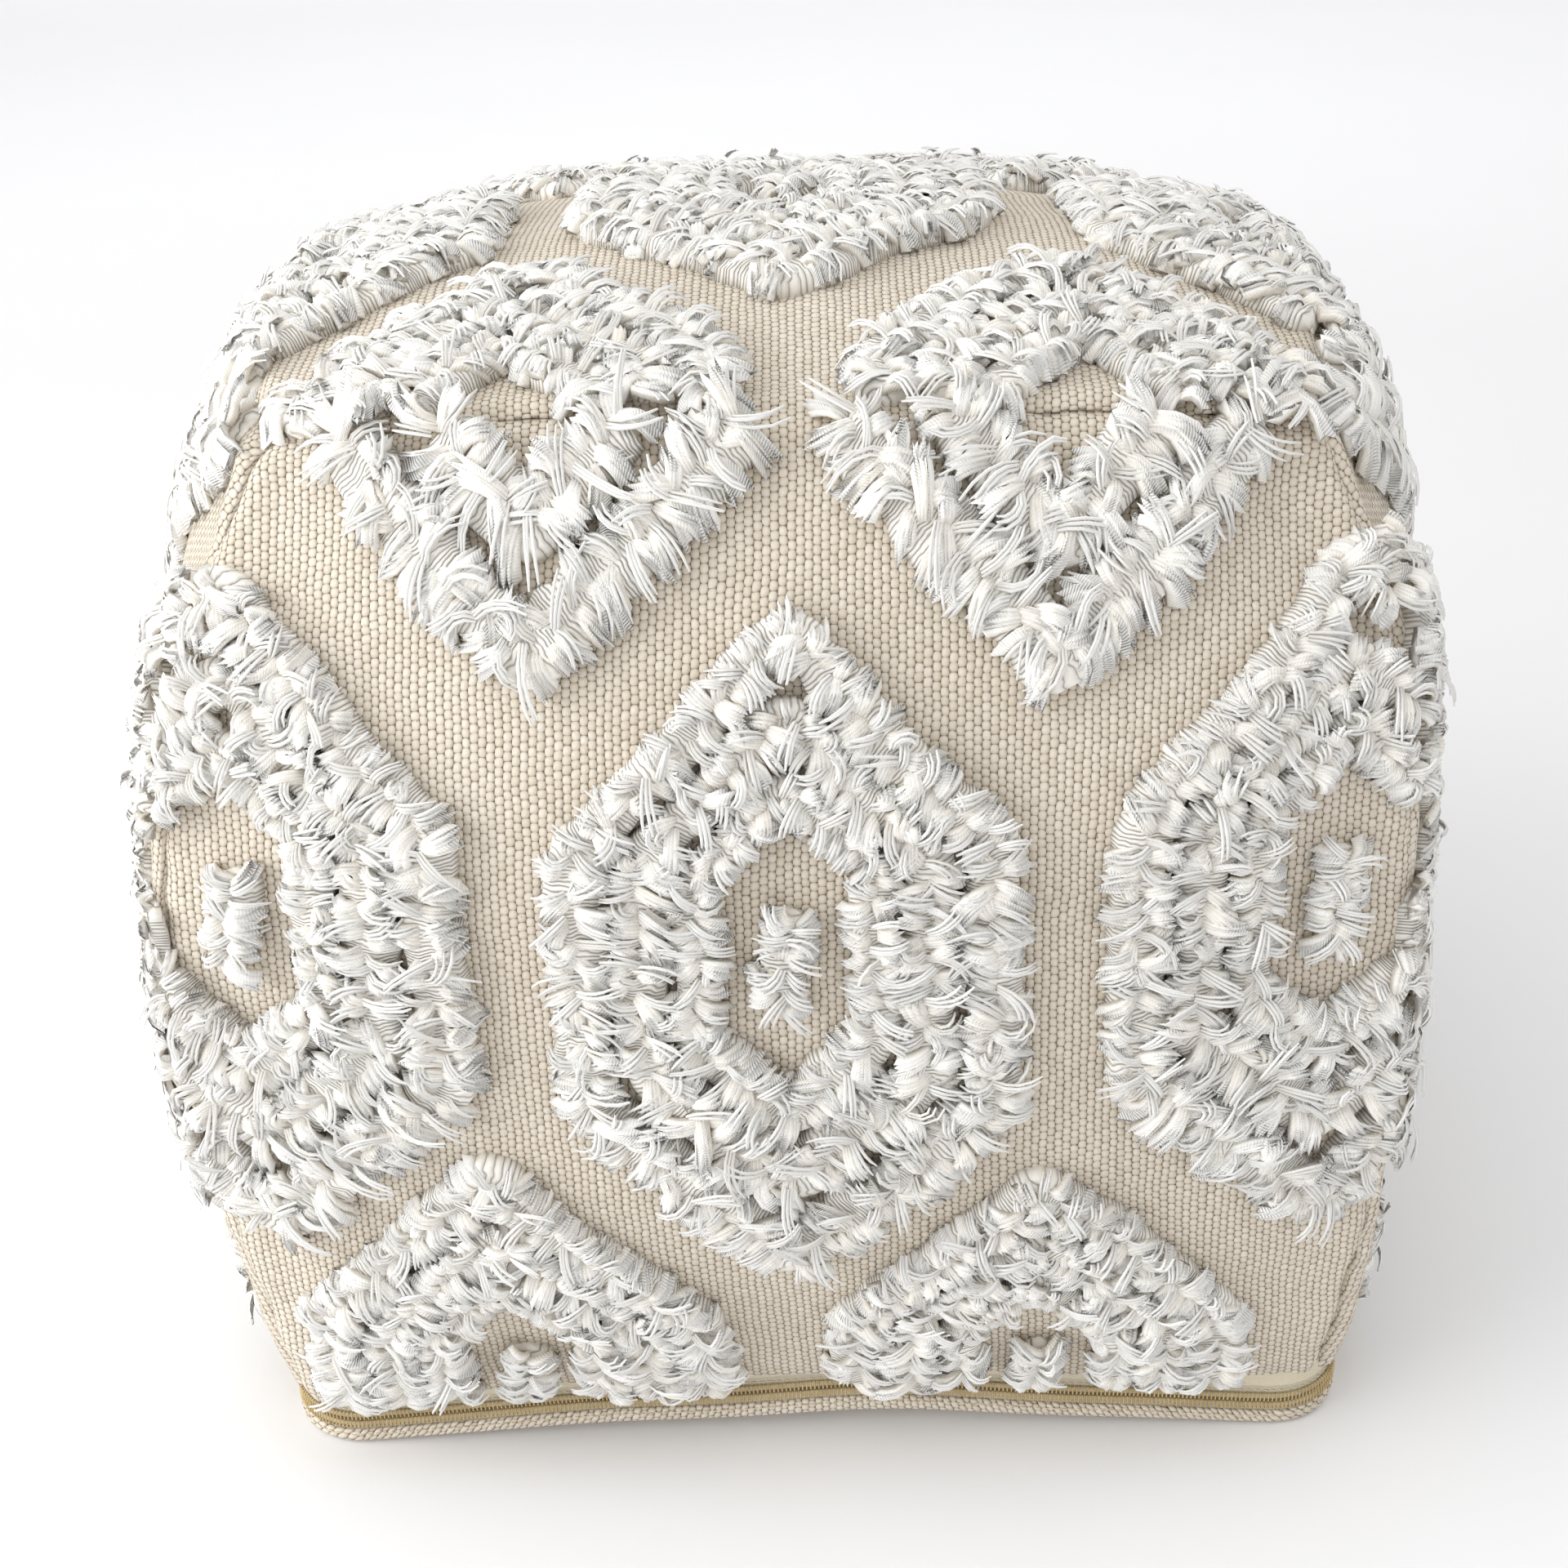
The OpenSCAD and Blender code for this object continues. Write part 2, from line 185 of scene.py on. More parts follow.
def zip_lift(across, side):
    """How far the zip and hem rise off their straight line, from the distance along a side's middle:
    an arch in the middle and a slow wave. The side the slider runs on stays straight."""
    reach = MID_BASE - CORNER_R
    inside = np.clip(1 - (across / reach) ** 2, 0, 1)
    if side == "front":
        wave = 0.9 * MM * np.sin(across / (31 * MM) + 0.6) + 0.7 * MM * np.sin(across / (17 * MM))
        return inside ** 1.3 * 9.5 * MM + inside * wave
    if side == "right":
        return inside ** 1.3 * 7 * MM + inside * 0.8 * MM * np.sin(across / (26 * MM))
    return 0 * inside


def wall_shape(s, t, side):
    """Point of a wall as it faces the front: s runs from seam to seam and t from hem to top seam. The
    wall bows out between its seams, with round corners at the base."""
    seam = swell(t, SEAM_BASE, SEAM_WALL, SEAM_TOP)
    middle = swell(t, MID_BASE, MID_WALL, MID_TOP)
    power = BOW + (BASE_BOW - BOW) * np.clip(1 - t, 0, 1) ** 12
    hem = HEM + zip_lift(seam * s, side)
    top = TOP_Z + SEAM_RISE * bow(s)
    out = seam + (middle - seam) * bow(s, power)
    return np.stack([seam * s, -out, hem + (top - hem) * t], -1)


def top_shape(s, r):
    """Point of the top panel: s runs from left to right and r from front to rear."""
    x = s * (SEAM_TOP + TOP_BOW * bow(r))
    y = r * (SEAM_TOP + TOP_BOW * bow(s))
    return np.stack([x, y, TOP_Z + SEAM_RISE * (bow(s) + bow(r)) + CROWN * bow(s) * bow(r)], -1)


def turned(points, quarter):
    """Points turned by quarters of a turn about the pouf's axis."""
    c, s = [(1, 0), (0, 1), (-1, 0), (0, -1)][quarter]
    x, y = points[..., 0].copy(), points[..., 1].copy()
    return np.stack([c * x - s * y, s * x + c * y, points[..., 2]], -1)


def settled(points):
    """Points as the soft filling lets them settle: the left and right walls bulge less than the front and
    back, the top sinks towards the rear, and the whole leans a few millimetres to the left."""
    high = np.clip(points[..., 2] / TOP_Z, 0, None)
    rear = np.clip((points[..., 1] + 0.09) / 0.27, 0, 1)
    sink = 13 * MM * rear**2 * (3 - 2 * rear) * high**3
    lean = 5 * MM * np.sin(np.clip(high, 0, 1) * math.pi)
    x = points[..., 0]
    flatter = 0.32 * np.sign(x) * np.clip(np.abs(x) - SEAM_WALL, 0, None)
    return points - np.stack([flatter + lean, 0 * lean, sink], -1)


class Panel:
    """One sewn panel of the cover. Its cloth is the smooth shape with folds added along the normal."""

    def __init__(self, name, quarter, seed):
        self.name, self.quarter, self.seed = name, quarter, seed
        self.flat_top = name == "top"

    def smooth(self, s, t):
        if self.flat_top:
            return top_shape(s, t)
        return wall_shape(s, t, self.name)

    def normal(self, s, t):
        """Outward normal of the smooth shape, from its slopes along s and t."""
        e = 0.002
        along = self.smooth(s + e, t) - self.smooth(s - e, t)
        up = self.smooth(s, t + e) - self.smooth(s, t - e)
        return unit(np.cross(along, up))

    def edges(self, s, t):
        """Distances to the side seams, the far seam and the near edge, and the place along each."""
        if self.flat_top:
            return (1 - np.abs(s)) * MID_TOP, (1 - t) * MID_TOP, (1 + t) * MID_TOP, s * MID_TOP, t * MID_TOP
        tall = TOP_Z + SEAM_RISE - HEM
        return (1 - np.abs(s)) * SEAM_WALL, (1 - t) * tall, t * tall, s * SEAM_WALL, t * tall

    def folds(self, s, t):
        """Height of the folds: slow unevenness, puckers that start at the seams and fade within 3 cm,
        the valley where two panels are sewn together, and a slack dent at each upper corner."""
        side, far, near, x, y = self.edges(s, t)
        height = 1.8 * MM * ripple(x, y, 170 * MM, self.seed)
        height = height + 0.8 * MM * ripple(x, y, 60 * MM, self.seed + 1)
        seams = [(side, y), (far, x)] + ([(near, x)] if self.flat_top else [])
        for k, (gap, place) in enumerate(seams):
            gap = np.maximum(gap, 0)
            pucker = ripple(place, 0 * place, 17 * MM, self.seed + 5 + k) * np.exp(-gap / (11 * MM))
            height = height + 0.9 * MM * pucker + 0.8 * MM * np.exp(-(((gap - 7 * MM) / (5 * MM)) ** 2))
            height = height - 2.4 * MM * np.exp(-((gap / (2.6 * MM)) ** 2))
        corner = np.hypot(side - 30 * MM, far - 34 * MM)
        dent = np.exp(-((corner / (24 * MM)) ** 2)) * (1 if not self.flat_top else 0.6)
        height = height - 4.5 * MM * dent * (0.7 + 0.3 * np.sign(x) * (1 if self.seed % 2 else -1))
        if not self.flat_top:
            crease = (far - 46 * MM - 0.12 * (side - 20 * MM)) / (3.2 * MM)
            reach = np.exp(-((side / (52 * MM)) ** 2))
            height = height - 2.6 * MM * np.exp(-(crease**2)) * reach * (x < 0 if self.seed % 2 else x > 0)
        return height

    def cloth(self, s, t, out=0.0):
        """Points of the cloth, moved outwards by out, in the pouf's frame."""
        s, t = np.broadcast_arrays(np.asarray(s, float), np.asarray(t, float))
        points = self.smooth(s, t) + self.normal(s, t) * (self.folds(s, t) + out)[..., None]
        return settled(turned(points, self.quarter))

    def place(self, x, y):
        """(s, t) of the cloth behind a point of the panel's pattern, which is drawn flat: across and up
        on a wall, and across and back on the top."""
        if self.flat_top:
            s, t = x / MID_TOP, y / MID_TOP
            for _ in range(6):
                s, t = x / (SEAM_TOP + TOP_BOW * bow(t)), y / (SEAM_TOP + TOP_BOW * bow(s))
            return s, t
        s, t = x / SEAM_WALL, (y - HEM) / (TOP_Z - HEM)
        for _ in range(6):
            seam = swell(t, SEAM_BASE, SEAM_WALL, SEAM_TOP)
            s = x / seam
            hem = HEM + zip_lift(x, self.name)
            t = (y - hem) / (TOP_Z + SEAM_RISE * bow(np.clip(s, -1.2, 1.2)) - hem)
        return s, t

    def holds(self, x, y, margin=0.0):
        """True where a point of the pattern is on the panel, at least margin inside its seams."""
        s, t = self.place(x, y)
        side, far, near, _, _ = self.edges(s, t)
        return (side > margin) & (far > margin) & (near > margin)


WALLS = ("front", "right", "back", "left")
PANELS = [Panel(name, quarter, 11 + 20 * quarter) for quarter, name in enumerate(WALLS)]
PANELS.append(Panel("top", 0, 111))

# ---- materials ----


class Wire:
    """A socket in a material's node tree. Arithmetic on it adds Math nodes."""

    def __init__(self, finish, socket):
        self.finish, self.socket = finish, socket

    def maths(self, operation, *values):
        return self.finish.node("ShaderNodeMath", {"operation": operation}, dict(enumerate(values)))

    def __add__(self, other):
        return self.maths("ADD", self, other)

    def __sub__(self, other):
        return self.maths("SUBTRACT", self, other)

    def __rsub__(self, other):
        return self.maths("SUBTRACT", other, self)

    def __mul__(self, other):
        return self.maths("MULTIPLY", self, other)

    def __truediv__(self, other):
        return self.maths("DIVIDE", self, other)

    def __pow__(self, other):
        return self.maths("POWER", self, other)

    def __gt__(self, other):
        return self.maths("GREATER_THAN", self, other)

    __radd__, __rmul__ = __add__, __mul__

    def floor(self):
        return self.maths("FLOOR", self)

    def fraction(self):
        return self.maths("FRACT", self)

    def sine(self):
        return self.maths("SINE", self)

    def remainder(self, other):
        return self.maths("FLOORED_MODULO", self, other)

    def limited(self):
        return self.maths("MINIMUM", self.maths("MAXIMUM", self, 0.0), 1.0)


class Finish:
    """A material and the means to build its nodes. What is the same all over is set on the shader."""

    def __init__(self, name, **constants):
        self.material = bpy.data.materials.new(name)
        self.material.use_nodes = True
        self.tree = self.material.node_tree
        self.shader = self.tree.nodes["Principled BSDF"]
        for key, value in constants.items():
            self.shader.inputs[key.replace("_", " ")].default_value = value

    def node(self, kind, settings=None, values=None, output=0):
        made = self.tree.nodes.new(kind)
        for key, value in (settings or {}).items():
            setattr(made, key, value)
        for key, value in (values or {}).items():
            if isinstance(value, Wire):
                self.tree.links.new(value.socket, made.inputs[key])
            else:
                made.inputs[key].default_value = value
        return Wire(self, made.outputs[output])

    def mix(self, share, a, b):
        """Colour a where share is 0 and b where it is 1."""
        return self.node("ShaderNodeMix", {"data_type": "RGBA"}, {0: share, 6: a, 7: b}, output=2)

    def noise(self, where, scale, detail=2.0, roughness=0.5):
        return self.node("ShaderNodeTexNoise", None,
                         {"Vector": where, "Scale": scale, "Detail": detail, "Roughness": roughness})

    def object_place(self):
        return self.node("ShaderNodeTexCoord", output=3)

    def cloth_place(self):
        return self.node("ShaderNodeUVMap", {"uv_map": "cloth"})

    def shade(self):
        return self.node("ShaderNodeAttribute", {"attribute_name": "shade"}, output=2)

    def split(self, where):
        made = self.tree.nodes.new("ShaderNodeSeparateXYZ")
        self.tree.links.new(where.socket, made.inputs[0])
        return [Wire(self, output) for output in made.outputs]

    def joined(self, x, y, z=0.0):
        return self.node("ShaderNodeCombineXYZ", None, {0: x, 1: y, 2: z})

    def feed(self, name, wire):
        self.tree.links.new(wire.socket, self.shader.inputs[name])

    def bump(self, height, distance, strength=1.0):
        self.feed("Normal", self.node("ShaderNodeBump", None,
                                      {"Height": height, "Distance": distance, "Strength": strength}))


def colour(red, green, blue):
    """Linear colour of an 8-bit display colour."""
    def linear(value):
        value = value / 255
        return value / 12.92 if value < 0.04045 else ((value + 0.055) / 1.055) ** 2.4
    return linear(red), linear(green), linear(blue), 1.0


def canvas_finish():
    """Coarse canvas: round knobs of thread in columns, each column half a knob up from the last. Dark gaps
    open where knobs meet at their corners. Knobs differ a little in place and colour; a few are flecked."""
    f = Finish("undyed_canvas", Roughness=0.95, Sheen_Weight=0.1, Sheen_Roughness=0.6,
               Specular_IOR_Level=0.2)
    place = f.cloth_place()
    u, v, _ = f.split(place)
    drift = f.noise(place, 60.0) - 0.5
    tremble = f.noise(f.joined(v, u), 230.0) - 0.5
    column = u / (2.55 * MM) + drift * 0.7 + tremble * 0.22
    row = v / (2.95 * MM) + column.floor().remainder(2.0) * 0.5 + tremble * 0.25 + drift * 0.5
    cell = f.joined(column.floor() * 3.7, row.floor() * 5.3)
    own = f.noise(cell, 1.0, 0.0)
    shift = f.noise(cell, 1.7, 0.0) - 0.5
    across = column.fraction() * 2.0 - 1.0 + shift * 0.35
    up = row.fraction() * 2.0 - 1.0 + (own - 0.5) * 0.35
    edge = (across * across) ** 1.1 + (up * up) ** 1.1
    knob = (1.0 - edge * 0.5).limited()
    gap = ((edge - 0.9) / 0.75).limited() ** 1.2
    fibres = f.noise(f.joined(u * 1300.0, v * 1300.0), 1.0, 3.0, 0.65)
    wear = f.noise(f.object_place(), 9.0, 3.0)
    tone = (own * 0.55 + fibres * 0.5 + wear * 0.3 + knob * 0.35 - 0.42).limited()
    thread = f.mix(tone, colour(196, 182, 160), colour(236, 228, 215))
    fleck = f.noise(place, 420.0, 1.0) > 0.79
    thread = f.mix(fleck * 0.6, thread, colour(112, 82, 52))
    f.feed("Base Color", f.mix(gap * 0.85, thread, colour(118, 90, 62)))
    f.bump(knob ** 0.8 - gap * 0.35 + fibres * 0.2, 1.15 * MM, 0.9)
    return f.material


def yarn_finish():
    """Cotton yarn: off-white, with painted shade that makes it darker and a little warmer deep in the pile
    and between strands, with the twist of its ply as slanting ridges and loose fibres over them."""
    f = Finish("tufted_cotton_yarn", Roughness=0.9, Sheen_Weight=0.2, Sheen_Roughness=0.5,
               Specular_IOR_Level=0.15)
    u, v, _ = f.split(f.cloth_place())
    twist = ((u / (0.6 * MM) + v / (1.1 * MM)) * math.tau).sine()
    fibres = f.noise(f.joined(u * 3000.0, v * 500.0), 1.0, 2.0)
    # Painted shade: the shade attribute darkens the yarn towards the roots and in the valleys between
    # strands; it also carries each wisp's random tone.
    tone = (f.shade() * 1.1 + fibres * 0.4 + twist * 0.08 - 0.02).limited()
    f.feed("Base Color", f.mix(tone, colour(227, 219, 205), colour(254, 253, 250)))
    f.bump(twist * 0.35 + fibres, 0.25 * MM, 0.6)
    return f.material


def mat_finish():
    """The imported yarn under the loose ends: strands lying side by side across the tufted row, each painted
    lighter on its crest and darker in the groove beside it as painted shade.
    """
    f = Finish("packed_yarn", Roughness=0.92, Sheen_Weight=0.2, Sheen_Roughness=0.5, Specular_IOR_Level=0.2)
    place = f.cloth_place()
    u, v, _ = f.split(place)
    bend = f.noise(place, 90.0, 2.0) - 0.5
    strand = ((u / (1.35 * MM) + bend * 5.0).fraction() * 2.0 - 1.0)
    round_top = (1.0 - strand * strand) ** 0.5
    clump = f.noise(place, 160.0, 2.0)
    fibres = f.noise(f.joined(u * 2600.0, v * 300.0), 1.0, 2.0)
    # Painted shade: round_top lightens each strand's crest and darkens the grooves between strands; clump
    # and fibres add random tone.
    tone = (round_top * 0.55 + clump * 0.35 + fibres * 0.2).limited()
    f.feed("Base Color", f.mix(tone, colour(232, 224, 208), colour(251, 249, 244)))
    f.bump(round_top + clump * 0.8 + fibres * 0.3, 1.1 * MM, 1.0)
    return f.material


def tape_finish():
    """Woven zip tape: cream, with fine slanting ribs along it."""
    f = Finish("zip_tape_cream", Roughness=0.75, Sheen_Weight=0.15, Specular_IOR_Level=0.3)
    u, v, _ = f.split(f.cloth_place())
    rib = (((u + v * 0.8) / (0.62 * MM)) * math.tau).sine() * 0.5 + 0.5
    cross = ((v / (0.8 * MM)) * math.tau).sine() * 0.5 + 0.5
    fuzz = f.noise(f.joined(u * 1400.0, v * 1400.0), 1.0, 2.0)
    tone = (rib * 0.4 + cross * 0.25 + fuzz * 0.35).limited()
    f.feed("Base Color", f.mix(tone, colour(206, 192, 160), colour(240, 232, 212)))
    f.bump(rib * 0.6 + cross * 0.4 + fuzz * 0.3, 0.25 * MM, 0.8)
    return f.material


def coil_finish():
    """Moulded coil: gold-beige, satin, a little uneven in colour."""
    f = Finish("zip_coil_gold", Roughness=0.38, Specular_IOR_Level=0.5)
    spread = f.noise(f.object_place(), 260.0, 2.0)
    f.feed("Base Color", f.mix(spread, colour(172, 146, 94), colour(220, 200, 152)))
    f.feed("Roughness", spread * 0.25 + 0.28)
    f.bump(spread, 0.1 * MM, 0.4)
    return f.material


def thread_finish():
    """Sewing thread: cream, twisted."""
    f = Finish("sewing_thread", Roughness=0.6, Sheen_Weight=0.1)
    ply = f.noise(f.object_place(), 1500.0, 2.0)
    f.feed("Base Color", f.mix(ply, colour(196, 178, 138), colour(236, 224, 196)))
    f.bump(ply, 0.12 * MM, 0.6)
    return f.material


def brass_finish():
    """Satin brass with fine scratches and darker, duller patches where it is handled less."""
    f = Finish("zip_brass", Metallic=1.0, Roughness=0.3)
    place = f.object_place()
    x, y, z = f.split(place)
    scratch = f.noise(f.joined(x * 2000.0, y * 220.0, z * 2000.0), 1.0, 3.0, 0.7)
    patch = f.noise(place, 180.0, 3.0)
    f.feed("Base Color", f.mix(patch, colour(178, 142, 78), colour(224, 192, 122)))
    f.feed("Roughness", scratch * 0.22 + patch * 0.15 + 0.16)
    f.bump(scratch, 0.05 * MM, 0.3)
    return f.material


def lining_finish():
    """Thin white cotton: a fine plain weave with soft creases."""
    f = Finish("white_lining", Roughness=0.85, Sheen_Weight=0.1, Specular_IOR_Level=0.25)
    u, v, _ = f.split(f.cloth_place())
    warp = ((u / (0.5 * MM)) * math.tau).sine()
    weft = ((v / (0.5 * MM)) * math.tau).sine()
    crease = f.noise(f.object_place(), 22.0, 4.0, 0.6)
    tone = (warp * weft * 0.2 + crease * 0.8 + 0.1).limited()
    f.feed("Base Color", f.mix(tone, colour(216, 214, 206), colour(240, 239, 234)))
    f.bump(warp * weft * 0.1 + crease, 0.6 * MM, 0.6)
    return f.material


def filling_finish():
    """Loose white fibre fill: soft clumps and fine curled fibres."""
    f = Finish("fibre_filling", Roughness=0.95, Sheen_Weight=0.3, Specular_IOR_Level=0.15)
    place = f.object_place()
    clump = f.noise(place, 45.0, 4.0, 0.6)
    fibre = f.noise(place, 900.0, 3.0, 0.7)
    tone = (clump * 0.7 + fibre * 0.4).limited()
    f.feed("Base Color", f.mix(tone, colour(222, 221, 216), colour(248, 248, 246)))
    f.bump(clump + fibre * 0.3, 4 * MM, 0.8)
    return f.material


CANVAS, YARN, MAT = canvas_finish(), yarn_finish(), mat_finish()
TAPE, COIL, THREAD, BRASS = tape_finish(), coil_finish(), thread_finish(), brass_finish()
LINING, FILLING = lining_finish(), filling_finish()

# ---- cushion inside the cover ----


def cushion(name, inside, underside, material):
    """The insert as one closed crowned form: rings round the walls from the flat underside up, then ever
    smaller rings over the top, all moved inside the cover's outer face."""
    n, rows, rings = 28, 30, 10
    s = -np.cos(np.arange(n) * math.pi / n)

    def ring(shape):
        return np.concatenate([turned(shape, quarter) for quarter in range(4)])

    def pulled_in(points, amount):
        flat = points * np.array([1, 1, 0])
        return points - unit(flat) * amount

    levels = []
    foot = wall_shape(s, 0 * s, "back")
    for share, drop in ((0.0, 0.0), (0.6, 0.0), (0.9, 0.1), (1.0, 0.45)):
        level = pulled_in(foot, inside + 4 * MM) * np.array([share, share, 1])
        level[:, 2] = underside + drop * (HEM - underside)
        levels.append(ring(level))
    for t in np.linspace(0, 1, rows)[:-1]:
        lean = inside * (1 - 0.3 * t)
        level = pulled_in(wall_shape(s, t + 0 * s, "back"), lean)
        level[:, 2] -= inside * t
        levels.append(ring(level))
    for q in np.linspace(1, 0, rings + 1):
        level = top_shape(s * q, -q + 0 * s)
        level[:, :2] *= 1 - inside / MID_TOP
        level[:, 2] -= inside
        levels.append(ring(level))
    points = settled(np.stack(levels))
    height = np.arange(len(levels))[:, None] * 12 * MM + np.zeros(points.shape[:2])
    around = np.broadcast_to(np.arange(points.shape[1]) * 14 * MM, points.shape[:2])
    faces = grid_faces(len(levels), points.shape[1], around=True)
    node = name.replace("_piece", "")
    made = make_piece(name, points, [faces], [material], uv=np.stack([around, height], -1),
                      stands_for=[node])
    return made


lining = cushion("insert_lining_piece", 5 * MM, base_low[2] + 2 * MM, LINING)
cushion("insert_filling_piece", 6.5 * MM, base_low[2] + 3 * MM, FILLING)

# ---- cover panels ----


def spaced_lines(n):
    """Grid lines from -1 to 1, closer together near the ends, where the cloth puckers."""
    even = np.linspace(-1, 1, n)
    return 0.55 * even + 0.45 * np.sin(even * math.pi / 2)


def panel_piece(panel):
    """The panel's cloth as a grid, with its edge turned in at the seams as far as the stitching."""
    columns, rows = 116, 116
    s = spaced_lines(columns)
    t = spaced_lines(rows) if panel.flat_top else (spaced_lines(rows) + 1) / 2
    points = panel.cloth(s[None, :], t[:, None])
    tall = np.linalg.norm(np.diff(points[:, columns // 2], axis=0), axis=1)
    up = np.concatenate([[0], np.cumsum(tall)])
    wide = SEAM_TOP + TOP_BOW * bow(t) if panel.flat_top else swell(t, SEAM_BASE, SEAM_WALL, SEAM_TOP)
    uv = np.stack(np.broadcast_arrays(s[None, :] * wide[:, None], up[:, None]), -1)

    turn_in = (1.2 * MM, 3.5 * MM)

    def extended(array, by_row, inwards, stretch):
        """The grid with two more lines at each end, going inside the cover."""
        if not by_row:
            array, inwards = np.swapaxes(array, 0, 1), np.swapaxes(inwards, 0, 1)
        before = [array[0] + inwards[0] * d - stretch * d for d in reversed(turn_in)]
        after = [array[-1] + inwards[-1] * d + stretch * d for d in turn_in]
        array = np.concatenate([before, array, after])
        return array if by_row else np.swapaxes(array, 0, 1)

    for by_row in (False, True):
        heart = np.stack([0 * points[..., 0], 0 * points[..., 1], np.clip(points[..., 2], 0.09, 0.3)], -1)
        inwards = unit(heart - points)
        points = extended(points, by_row, inwards, 0.0)
        along = np.array([0, 1.0]) if by_row else np.array([1.0, 0])
        uv = extended(uv, by_row, np.zeros_like(uv), along)
    faces = grid_faces(points.shape[0], points.shape[1])
    made = make_piece(f"{panel.name}_panel_cloth", points, [faces], [CANVAS], uv=uv,
                      stands_for=[f"{panel.name}_panel"])
    a, b, c = (points.reshape(-1, 3)[faces[:, k]] for k in (0, 1, 3))
    area = float(np.linalg.norm(np.cross(b - a, c - a), axis=1).sum())
    seam_allowance = 2 * turn_in[-1]
    flat = (float(2 * wide.max()) + 24 * MM + seam_allowance, float(up[-1]) + 8 * MM + seam_allowance)
    min(area, flat[0] * flat[1])
    return made


# ---- tufted motifs ----

ROW_INSETS = ((11 * MM, 12 * MM), (30.5 * MM, 11.5 * MM), (47 * MM, 9.5 * MM))
PILE = 10 * MM
PACKED_PITCH = 5.7 * MM
LOOSE_PITCH = 7.6 * MM
STRAND_PITCH = 1.15 * MM
YARN_R = 0.68 * MM
# rows on the walls start this far above the hem, and a stretch of no more than so many points is left out
PILE_FOOT = 12 * MM
SHORTEST_RUN = 5


def hexagon_line(inset, step=2.8 * MM):
    """A motif's outline moved inwards by inset, tips above and below, with its corners rounded."""
    slope_x = (MOTIF_H / 2 - SHOULDER * MOTIF_H) / (MOTIF_W / 2)
    across, up = slope_x / math.hypot(slope_x, 1), 1 / math.hypot(slope_x, 1)
    reach = up * MOTIF_H / 2 - inset
    half = MOTIF_W / 2 - inset
    shoulder = (reach - across * half) / up
    corners = np.array([[0, -reach / up], [half, -shoulder], [half, shoulder], [0, reach / up],
                        [-half, shoulder], [-half, -shoulder], [0, -reach / up]])
    along = np.concatenate([[0], np.cumsum(np.linalg.norm(np.diff(corners, axis=0), axis=1))])
    n = int(along[-1] / step)
    at = np.arange(n) * along[-1] / n
    line = read_along(at, along, corners)
    for _ in range(2):
        line = (np.roll(line, 1, 0) + np.roll(line, -1, 0) + line) / 3
    return line


def row_frame(line, closed):
    """Length along a row, its direction and its outward side, for each of its points."""
    if closed:
        ahead = np.roll(line, -1, 0) - np.roll(line, 1, 0)
        steps = np.linalg.norm(np.roll(line, -1, 0) - line, axis=1)
        along = np.concatenate([[0], np.cumsum(steps)[:-1]])
        return along, steps.sum(), unit(ahead)
    steps = np.linalg.norm(np.diff(line, axis=0), axis=1)
    return np.concatenate([[0], np.cumsum(steps)]), steps.sum(), unit(np.gradient(line, axis=0))


def across_of(direction):
    """The direction turned a quarter turn clockwise, which is outwards on a row that runs anticlockwise."""
    return np.stack([direction[..., 1], -direction[..., 0]], -1)


def runs(inside):
    """Stretches of a closed row where inside is true, as arrays of indices that may wrap round."""
    if inside.all():
        return [(np.arange(len(inside)), True)]
    start = int(np.argmin(inside))
    order = (np.arange(len(inside)) + start) % len(inside)
    marks = np.concatenate([[0], inside[order].astype(int), [0]])
    begins, ends = np.flatnonzero(np.diff(marks) == 1), np.flatnonzero(np.diff(marks) == -1)
    return [(order[a:b], False) for a, b in zip(begins, ends) if b - a > SHORTEST_RUN]


def tube_points(paths, radius, up, sides=3, flatness=0.75):
    """Rings round each path, each with a corner up: paths is strands by points by 3, radius strands by
    points, and flatness a ring's height over its width."""
    ahead = unit(np.gradient(paths, axis=1))
    beside = unit(np.cross(ahead, up[:, None, :]))
    above = np.cross(beside, ahead)
    angle = (0.25 + np.arange(sides) / sides) * math.tau
    ring = beside[:, :, None] * np.cos(angle)[:, None]
    ring = ring + above[:, :, None] * (flatness * np.sin(angle))[:, None]
    return paths[:, :, None] + ring * radius[:, :, None, None]


def tube_faces(count, points, sides=3, start=0):
    """Quads round each tube, and a face closing each end."""
    quads = grid_faces(points, sides, around=True)[:, ::-1]
    offsets = start + np.arange(count)[:, None, None] * points * sides
    ends = np.stack([np.arange(sides), (points - 1) * sides + np.arange(sides)[::-1]])
    return (quads[None] + offsets).reshape(-1, 4), (ends[None] + offsets).reshape(-1, sides)


def anticlockwise(rings):
    """True for each tube whose rings of points run anticlockwise, seen from its far end."""
    ring = rings[:, 2] - rings[:, 2].mean(1, keepdims=True)
    area = np.cross(ring, np.roll(ring, -1, 1)).sum(1)
    return (area * (rings[:, 3].mean(1) - rings[:, 1].mean(1))).sum(-1) > 0


STEPS = np.linspace(0, 1, 5)
# heights along a wisp of yarn ends, as shares of the pile: over the row's crest and down to the cloth, on
# top of the rest, and standing up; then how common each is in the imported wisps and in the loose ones
WISP_HEIGHTS = np.array([(0.70, 0.98, 1.00, 0.78, 0.34), (0.84, 1.06, 1.12, 1.00, 0.72),
                         (0.86, 1.14, 1.26, 1.22, 1.08)])
PACKED_SHARES, LOOSE_SHARES = (0.72, 0.28, 0.0), (0.34, 0.44, 0.22)
# strands across a wisp: a packed one has five, as ridges with valleys between; a loose one has three
RIDGES = np.linspace(-2.5, 2.5, 11)
LOOSE = np.array([-1.0, 0.0, 1.0])


